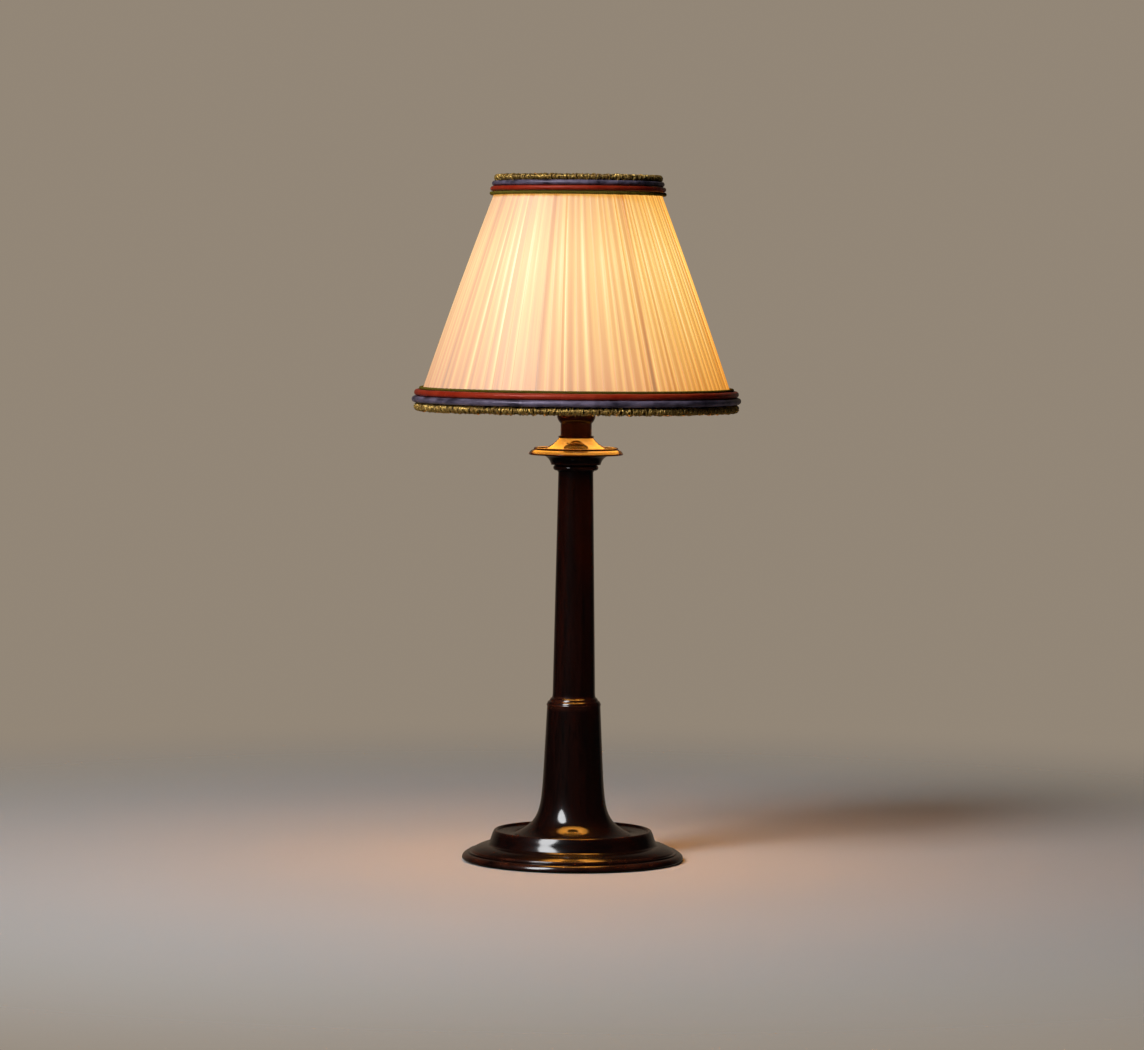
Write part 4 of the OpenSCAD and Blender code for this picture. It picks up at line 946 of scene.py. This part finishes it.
class LAMP_OT_silk(LampOperator):
    """Fold the silk in knife pleats over the frame"""
    bl_idname = "lamp.silk"
    bl_label = "Silk"

    # Section of one pleat: place along the pitch and along the underlap, height of the fold, how sheer it is
    FOLD = (
        (-0.01, 0.0, 0.93, 0.35), (0.03, 0.0, 1.0, 0.58), (0.09, 0.0, 0.97, 0.84), (0.17, 0.0, 0.92, 0.56),
        (0.30, 0.0, 0.82, 0.5), (0.44, 0.0, 0.70, 0.5), (0.58, 0.0, 0.60, 0.55), (0.68, 0.0, 0.52, 0.8),
        (0.82, 0.0, 0.43, 1.0), (0.93, 0.0, 0.37, 0.92), (0.985, 0.0, 0.34, 0.5), (1.0, 0.5, 0.18, 0.4),
        (1.0, 1.0, 0.02, 0.4), (1.0, 1.02, 0.10, 0.4), (1.0, 0.5, 0.52, 0.35),
    )
    # Rows of faces from the bottom to the top, two of them under the trims at each end
    ROWS = 30
    # Light through the silk at its brightest height, that height as a share of the drop, how much the light
    # falls from there to the bottom and to the top, and the curve of the fall
    LIGHT, LIGHT_AT, FALL_LOW, FALL_TOP, FALL_CURVE = 0.755, 0.65, 0.34, 0.24, 1.4
    # How much brighter the silk is on the bulb's side, and to the left and right
    BULB_SIDE, BOTH_SIDES = 0.08, 0.06
    # How sheer a place is that leaves the light as it is, and how much others differ at the bottom and top
    PLAIN_SHEER, SHEER_LOW, SHEER_TOP = 0.66, 0.95, 0.45
    # How dark a strut's shadow is, and its half width
    STRUT_SHADOW, STRUT_WIDTH = 0.34, 2.0 * MM

    def execute(self, context):
        s = self.shade
        cone = Cone()
        low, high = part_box("shade_silk")
        fold = len(self.FOLD)
        columns = s.pleats * fold
        clear_selection()
        bpy.ops.mesh.primitive_grid_add(x_subdivisions=columns, y_subdivisions=self.ROWS, size=1)
        piece = named(bpy.context.object, "silk_cloth")
        pleats = self.uneven_pleats()
        covered = (ring_of("bottom_green_cord")[1], ring_of("top_green_cord")[1])
        heights = self.row_heights(low.z, high.z, covered)
        glow, cloth = [], []
        for v in piece.data.vertices:
            column = round((v.co.x + 0.5) * columns)
            z = heights[round((v.co.y + 0.5) * self.ROWS)]
            t = (z - low.z) / (high.z - low.z)
            pleat, after = (pleats[(column // fold + k) % s.pleats] for k in range(2))
            along, under, rise, sheer = self.FOLD[column % fold]
            share = s.under_low + (s.under_top - s.under_low) * t
            start = pleat["low"] + (pleat["top"] - pleat["low"]) * t
            width = (after["low"] + (after["top"] - after["low"]) * t - start) % TURN
            turn = start + width * along + TURN / s.pleats * share * pleat["under"] * under
            out = s.silk_in + (s.silk_out - s.silk_in) * rise * pleat["height"]
            r = cone.radius(z, out) + s.bow * math.sin(math.pi * t)
            v.co = (r * math.cos(turn), r * math.sin(turn), z)
            cloth.append((column / fold, t))
            glow.append(self.lit(v.co, t, sheer, pleat, turn, covered))
        mark(piece, "glow", glow)
        lay_out(piece, cloth)
        bpy.ops.object.mode_set(mode="EDIT")
        close_mesh(FOLD_CREASE)
        modified(piece, "SOLIDIFY", thickness=s.silk_t, offset=0.0)
        set_in(piece, lit_silk(self.colours), "shade", "silk", "shade_silk")
        self.declare(piece, cone, low.z, high.z)
        return {"FINISHED"}

    def row_heights(self, low_z, high_z, covered):
        """Heights of the rows, close together where the silk goes under the green cords."""
        edge = 0.25 * MM
        shown = covered[1] - covered[0] - 2 * edge
        steps = self.ROWS - 4
        inner = [covered[0] + edge + shown * k / steps for k in range(steps + 1)]
        return [low_z, covered[0] - edge, *inner, covered[1] + edge, high_z]

    def uneven_pleats(self):
        """Each pleat's place at the bottom and the top, its depth, and how it lets light through."""
        s = self.shade
        draw = random.Random(7)
        widths = [draw.uniform(1 - s.uneven, 1 + s.uneven) for _ in range(s.pleats)]
        pitch = TURN / s.pleats
        turn, pleats = 0.0, []
        for width in widths:
            lean = s.lean * (1 + math.sin(turn - s.lean_turn))
            pleats.append({
                "low": turn + lean / 2 + draw.uniform(-0.08, 0.08) * pitch,
                "top": turn - lean / 2 + draw.uniform(-0.14, 0.14) * pitch,
                "under": draw.uniform(0.8, 1.1), "height": draw.uniform(0.7, 1.0),
                "bright": draw.uniform(0.92, 1.06), "contrast": draw.uniform(0.5, 1.6),
            })
            turn += TURN * width / sum(widths)
        return pleats

    def lit(self, co, t, sheer, pleat, turn, covered):
        """Light that reaches a place of the silk from the bulb, through the cloth and past the struts."""
        s = self.shade
        if not covered[0] < co.z < covered[1]:
            return 0.0
        if t < self.LIGHT_AT:
            fall = self.FALL_LOW * (1 - t / self.LIGHT_AT) ** self.FALL_CURVE
        else:
            fall = self.FALL_TOP * ((t - self.LIGHT_AT) / (1 - self.LIGHT_AT)) ** self.FALL_CURVE
        level = self.LIGHT - fall
        level *= 1 + self.BULB_SIDE * math.cos(turn - s.glow_turn) + self.BOTH_SIDES * math.cos(2 * turn)
        contrast = (self.SHEER_LOW + (self.SHEER_TOP - self.SHEER_LOW) * t) * pleat["contrast"]
        through = 1 + (sheer - self.PLAIN_SHEER) * contrast
        spacing = TURN / s.struts
        gap = (turn - s.strut_turn + spacing / 2) % spacing - spacing / 2
        away = gap * math.hypot(co.x, co.y) / self.STRUT_WIDTH
        strut = 1 - self.STRUT_SHADOW * math.exp(-away ** 2)
        return level * through * pleat["bright"] * strut

    def declare(self, piece, cone, low_z, high_z):
        """Work out the widths of the strip that the silk was cut to, whose pleats take less cloth at the top;
        they are not kept.
        """
        s = self.shade
        low_w = TURN * cone.radius(low_z, s.silk_out) * (1 + 2 * s.under_low)
        top_w = TURN * cone.radius(high_z, s.silk_out) * (1 + 2 * s.under_top)


class LAMP_OT_pipings(LampOperator):
    """Sew the red and the blue piping round the shade"""
    bl_idname = "lamp.pipings"
    bl_label = "Pipings"

    # How far a pucker slants round the cord, and how closely tight and slack places follow each other
    SLANT, SLACK = 1.1, 14

    def execute(self, context):
        c = self.colours
        red = satin("red_piping", c.red, c.red_sheen)
        blue = satin("blue_piping", c.blue, c.blue_sheen)
        for end in ("top", "bottom"):
            self.piping(f"{end}_red_piping", red, "red_piping")
            self.piping(f"{end}_blue_piping", blue, "blue_piping")
        return {"FINISHED"}

    def piping(self, node, material, slot):
        """Covered cord with the puckers of cloth cut on the bias."""
        r, z, cord = ring_of(node)
        clear_selection()
        bpy.ops.mesh.primitive_torus_add(major_radius=r, minor_radius=cord, location=(0, 0, z),
                                         major_segments=420, minor_segments=20)
        piece = named(bpy.context.object, node + "_sewn")
        bpy.ops.object.transform_apply(location=True, rotation=True, scale=True)
        s = self.shade
        for v in piece.data.vertices:
            turn = math.atan2(v.co.y, v.co.x)
            middle = Vector((r * math.cos(turn), r * math.sin(turn), z))
            out = v.co - middle
            around = math.atan2(out.z, math.hypot(v.co.x, v.co.y) - r)
            slanted = r * turn / s.pucker_len + self.SLANT * around
            # The height in both noises gives each piping its own pattern
            crease = noise.noise(Vector((slanted, 1.5 * math.sin(around), 11 * z)))
            slack = noise.noise(Vector((math.cos(turn) * self.SLACK, math.sin(turn) * self.SLACK, 40 * z)))
            out *= 1 + s.pucker * (crease - 0.6 + 0.6 * (slack - 0.3)) / cord
            v.co = middle + out
        bpy.ops.object.shade_smooth()
        set_in(piece, material, "shade", slot, node)


def wound(name, wires):
    """One mesh of round wires, each closed and given as its points and its radius."""
    curve = bpy.data.curves.new(name, "CURVE")
    curve.dimensions = "3D"
    curve.bevel_depth = 1.0
    curve.bevel_resolution = 0
    for points, radius in wires:
        spline = curve.splines.new("POLY")
        spline.points.add(len(points) - 1)
        spline.points.foreach_set("co", [c for p in points for c in (*p, 1)])
        spline.points.foreach_set("radius", [radius] * len(points))
        spline.use_cyclic_u = True
    piece = bpy.data.objects.new(name, curve)
    bpy.context.collection.objects.link(piece)
    select_only(piece)
    bpy.ops.object.convert(target="MESH")
    piece = named(bpy.context.object, name)
    bpy.ops.object.shade_smooth()
    return piece


def ring_point(r, z, turn, out, up):
    """Point beside a ring through (r, z), out from the axis and up."""
    return ((r + out) * math.cos(turn), (r + out) * math.sin(turn), z + up)


class LAMP_OT_cords(LampOperator):
    """Lay the thin green cords beside the red pipings"""
    bl_idname = "lamp.cords"
    bl_label = "Green cords"

    # A ply's middle and radius, as shares of the cord's radius, and its points in one twist
    PLY_OUT, PLY_R, POINTS = 0.48, 0.52, 9

    def execute(self, context):
        thread = twisted_thread(self.colours)
        for node in ("top_green_cord", "bottom_green_cord"):
            set_in(wound(node + "_twisted", self.plies(node)), thread, "shade", "green_cord", node)
        return {"FINISHED"}

    def plies(self, node):
        """Two plies, twisted round each other."""
        r, z, cord = ring_of(node)
        twists = round(TURN * r / self.shade.ply_twist)
        count = self.POINTS * twists
        out = self.PLY_OUT * cord
        wires = []
        for ply in range(2):
            points = []
            for i in range(count):
                turn = TURN * i / count
                twist = TURN * (twists * i / count + ply / 2)
                points.append(ring_point(r, z, turn, out * math.cos(twist), out * math.sin(twist)))
            wires.append((points, self.PLY_R * cord))
        return wires


class LAMP_OT_braids(LampOperator):
    """Wind the looped gold braids at the top and the bottom"""
    bl_idname = "lamp.braids"
    bl_label = "Gold braids"

    # Wires of a braid: the hand each is wound in, and its loops, reach and thickness as shares. The last one
    # is the core
    WIRES = ((1, 1.0, 1.08, 1.0), (-1, 1.12, 1.04, 1.0), (1, 0.84, 0.94, 1.0), (-1, 0.9, 0.7, 1.0),
             (1, 0.8, 0.3, 2.4))
    # Reach of a loose loop, as a share, and how far it slips round the core, in radians
    LOOSE, SLIP = (0.6, 1.15), 1.3
    # How far loops sway along the braid, as a share of their length, and how often in one loop
    SWAY, SWAY_PACE = 0.4, 1.7
    # Points in one loop, and the tape's thickness
    POINTS, TAPE_T = 10, 0.4 * MM

    def execute(self, context):
        thread = metal_thread(self.colours)
        for seed, node in enumerate(("top_gold_braid", "bottom_gold_braid")):
            set_in(self.braid(node, random.Random(seed)), thread, "shade", "gold_braid", node)
        return {"FINISHED"}

    def braid(self, node, draw):
        """Gilt wires wound in loose loops, one against the other, on a core."""
        s = self.shade
        r, z, cord = self.tucked(node)
        wires = []
        for hand, pace, reach, thickness in self.WIRES:
            loops = round(TURN * r / s.loop * pace)
            count = self.POINTS * loops
            start = draw.uniform(0, TURN)
            slack = [draw.uniform(*self.LOOSE) for _ in range(loops)]
            slip = [draw.uniform(-self.SLIP, self.SLIP) for _ in range(loops)]
            points = []
            for i in range(count):
                now, part = i // self.POINTS, i % self.POINTS / self.POINTS
                after = (now + 1) % loops
                ease = 0.5 - 0.5 * math.cos(math.pi * part)
                out = (cord - s.loop_wire) * reach * (slack[now] + (slack[after] - slack[now]) * ease)
                twist = start + hand * TURN * loops * i / count + slip[now] + (slip[after] - slip[now]) * ease
                turn = TURN * i / count + self.SWAY * s.loop / r * math.sin(self.SWAY_PACE * twist)
                points.append(ring_point(r, z, turn, out * math.cos(twist), out * math.sin(twist)))
            wires.append((points, s.loop_wire * thickness))
        piece = wound(node + "_looped", wires)
        # Distance out from the core, which sets the braid's painted shade
        mark(piece, "depth", [math.hypot(math.hypot(v.co.x, v.co.y) - r, v.co.z - z) / cord
                              for v in piece.data.vertices])
        tape = self.tape(node, node.replace("gold_braid", "blue_piping"))
        # The tape takes the braid's full painted shade
        mark(tape, "depth", [0.0] * len(tape.data.vertices))
        select_only(tape, piece)
        bpy.ops.object.join()
        return piece

    def tucked(self, node):
        """Middle radius, height and cord radius of a braid as it is sewn on."""
        r, z, cord = ring_of(node)
        return r - self.shade.braid_tuck * node.startswith("bottom"), z, cord

    def tape(self, braid, piping):
        """Tape that carries the loops and is sewn in behind the blue piping, dark with the braid's painted
        shade.
        """
        r, z, cord = self.tucked(braid)
        piping_r, piping_z, piping_cord = ring_of(piping)
        across, up = piping_r - r, piping_z - z
        span = math.hypot(across, up)
        out = Vector((abs(up), -math.copysign(across, across * up))) / span
        ends = [(r - 0.6 * cord * out.x, z - 0.6 * cord * out.y),
                (piping_r - 0.5 * piping_cord * out.x, piping_z - 0.5 * piping_cord * out.y)]
        band = spun(drawn_line(braid + "_tape", ends), CLOTH_STEPS, CLOTH_CREASE)
        return modified(band, "SOLIDIFY", thickness=self.TAPE_T, offset=0.0)


class LAMP_OT_stage(LampOperator):
    """Set the floor, the backdrop, the soft light and the camera"""
    bl_idname = "lamp.stage"
    bl_label = "Stage"

    # Direction of the window from the lamp, and the height that its light is aimed at
    WINDOW_WAY = (-0.535, -0.617, 0.576)
    WINDOW_AIM = 250 * MM
    # Direction of the lit wall, and where it starts and is full, from 0 in front of the lamp to 1 behind it
    WALL_WAY = (0, 1, 0)
    WALL_START, WALL_FULL = 0.82, 1.0

    def execute(self, context):
        self.floor()
        self.world(context.scene)
        self.window()
        self.camera(context.scene)
        context.scene.view_settings.view_transform = "Standard"
        return {"FINISHED"}

    def floor(self):
        """Round pale floor that fades into the backdrop."""
        s = self.stage
        clear_selection()
        bpy.ops.mesh.primitive_circle_add(vertices=128, radius=s.floor_r, fill_type="NGON")
        piece = named(bpy.context.object, "floor")
        f = Finish("floor", roughness=0.7)
        where = f.node("TexCoord", {}).outputs["Object"]
        far = f.node("VectorMath", {0: where}, operation="LENGTH").outputs["Value"]
        grain = f.noise(f.place((3, 3, 3)))
        base = self.colours.floor
        piece.data.materials.append(f.done(
            base_color=f.mix(grain, base, tuple(0.96 * c for c in base)),
            alpha=f.spread(far, s.fade_start, s.fade_end, 1.0, 0.0, interpolation_type="SMOOTHSTEP")))
        piece.visible_glossy = False

    def world(self, scene):
        """Backdrop that the camera sees, and the dim room with its lit wall round the lamp."""
        c = self.colours
        scene.world = bpy.data.worlds.new("room")
        scene.world.use_nodes = True
        nodes = Nodes(scene.world.node_tree)
        where = nodes.node("TexCoord", {}).outputs["Generated"]
        back = nodes.node("VectorMath", {0: where, 1: self.WALL_WAY}, operation="DOT_PRODUCT")
        share = nodes.math("MULTIPLY_ADD", back.outputs["Value"], 0.5, 0.5)
        light = nodes.ramp(share, (self.WALL_START, c.room), (self.WALL_FULL, c.wall))
        room = nodes.tree.nodes["Background"]
        nodes.put(room, {"Color": light, "Strength": self.stage.ambient})
        backdrop = nodes.node("Background", {"Color": c.backdrop})
        seen = nodes.node("LightPath", {}).outputs["Is Camera Ray"]
        either = nodes.node("MixShader", {"Fac": seen, 1: room.outputs[0], 2: backdrop.outputs[0]})
        nodes.put(nodes.tree.nodes["World Output"], {"Surface": either.outputs[0]})

    def window(self):
        """Soft light from the upper left, in front."""
        s = self.stage
        towards = Vector(self.WINDOW_WAY).normalized()
        clear_selection()
        bpy.ops.object.light_add(type="AREA",
                                 location=Vector((0, 0, self.WINDOW_AIM)) + s.window_distance * towards)
        lamp = named(bpy.context.object, "window")
        lamp.rotation_euler = towards.to_track_quat("Z", "Y").to_euler()
        lamp.data.shape = "ELLIPSE"
        lamp.data.size = s.window_w
        lamp.data.size_y = s.window_h
        lamp.data.energy = s.key_power
        lamp.data.color = self.colours.daylight

    def camera(self, scene):
        """Camera at the photograph's angle."""
        s = self.stage
        eye = Vector((s.aim_x, -s.eye_distance, s.eye_height))
        clear_selection()
        bpy.ops.object.camera_add(location=eye)
        camera = named(bpy.context.object, "camera")
        look = (Vector((s.aim_x, 0, s.aim_z)) - eye).to_track_quat("-Z", "Y")
        camera.rotation_euler = (look @ Quaternion((0, 0, 1), s.roll)).to_euler()
        camera.data.sensor_width = 36
        camera.data.lens = s.lens
        scene.camera = camera


class LAMP_PT_builder(Panel):
    """Lists the lamp's operators and settings"""
    bl_label = "Turned table lamp"
    bl_space_type = "VIEW_3D"
    bl_region_type = "UI"
    bl_category = "Lamp"

    def draw(self, context):
        for operator in OPERATORS:
            self.layout.operator(operator.bl_idname)
        for name in SETTINGS:
            group = getattr(context.scene, name)
            box = self.layout.box()
            for key in group.__annotations__:
                box.prop(group, key)


SETTINGS = {
    "lamp_stand": LampStand,
    "lamp_shade": LampShade,
    "lamp_colours": LampColours,
    "lamp_stage": LampStage,
}
OPERATORS = (LAMP_OT_stage, LAMP_OT_baize, LAMP_OT_foot, LAMP_OT_stems, LAMP_OT_pan, LAMP_OT_fittings,
             LAMP_OT_lining, LAMP_OT_silk, LAMP_OT_pipings, LAMP_OT_cords, LAMP_OT_braids)


def register():
    """Register the classes and put the settings on the scene."""
    for cls in (*SETTINGS.values(), *OPERATORS, LAMP_PT_builder):
        bpy.utils.register_class(cls)
    for name, group in SETTINGS.items():
        setattr(bpy.types.Scene, name, PointerProperty(type=group))


def unregister():
    """Take the settings and the classes away again."""
    for name in SETTINGS:
        delattr(bpy.types.Scene, name)
    for cls in reversed((*SETTINGS.values(), *OPERATORS, LAMP_PT_builder)):
        bpy.utils.unregister_class(cls)


def main():
    """Build the whole lamp."""
    register()
    for operator in OPERATORS:
        group, name = operator.bl_idname.split(".")
        getattr(getattr(bpy.ops, group), name)()


if __name__ == "__main__":
    main()
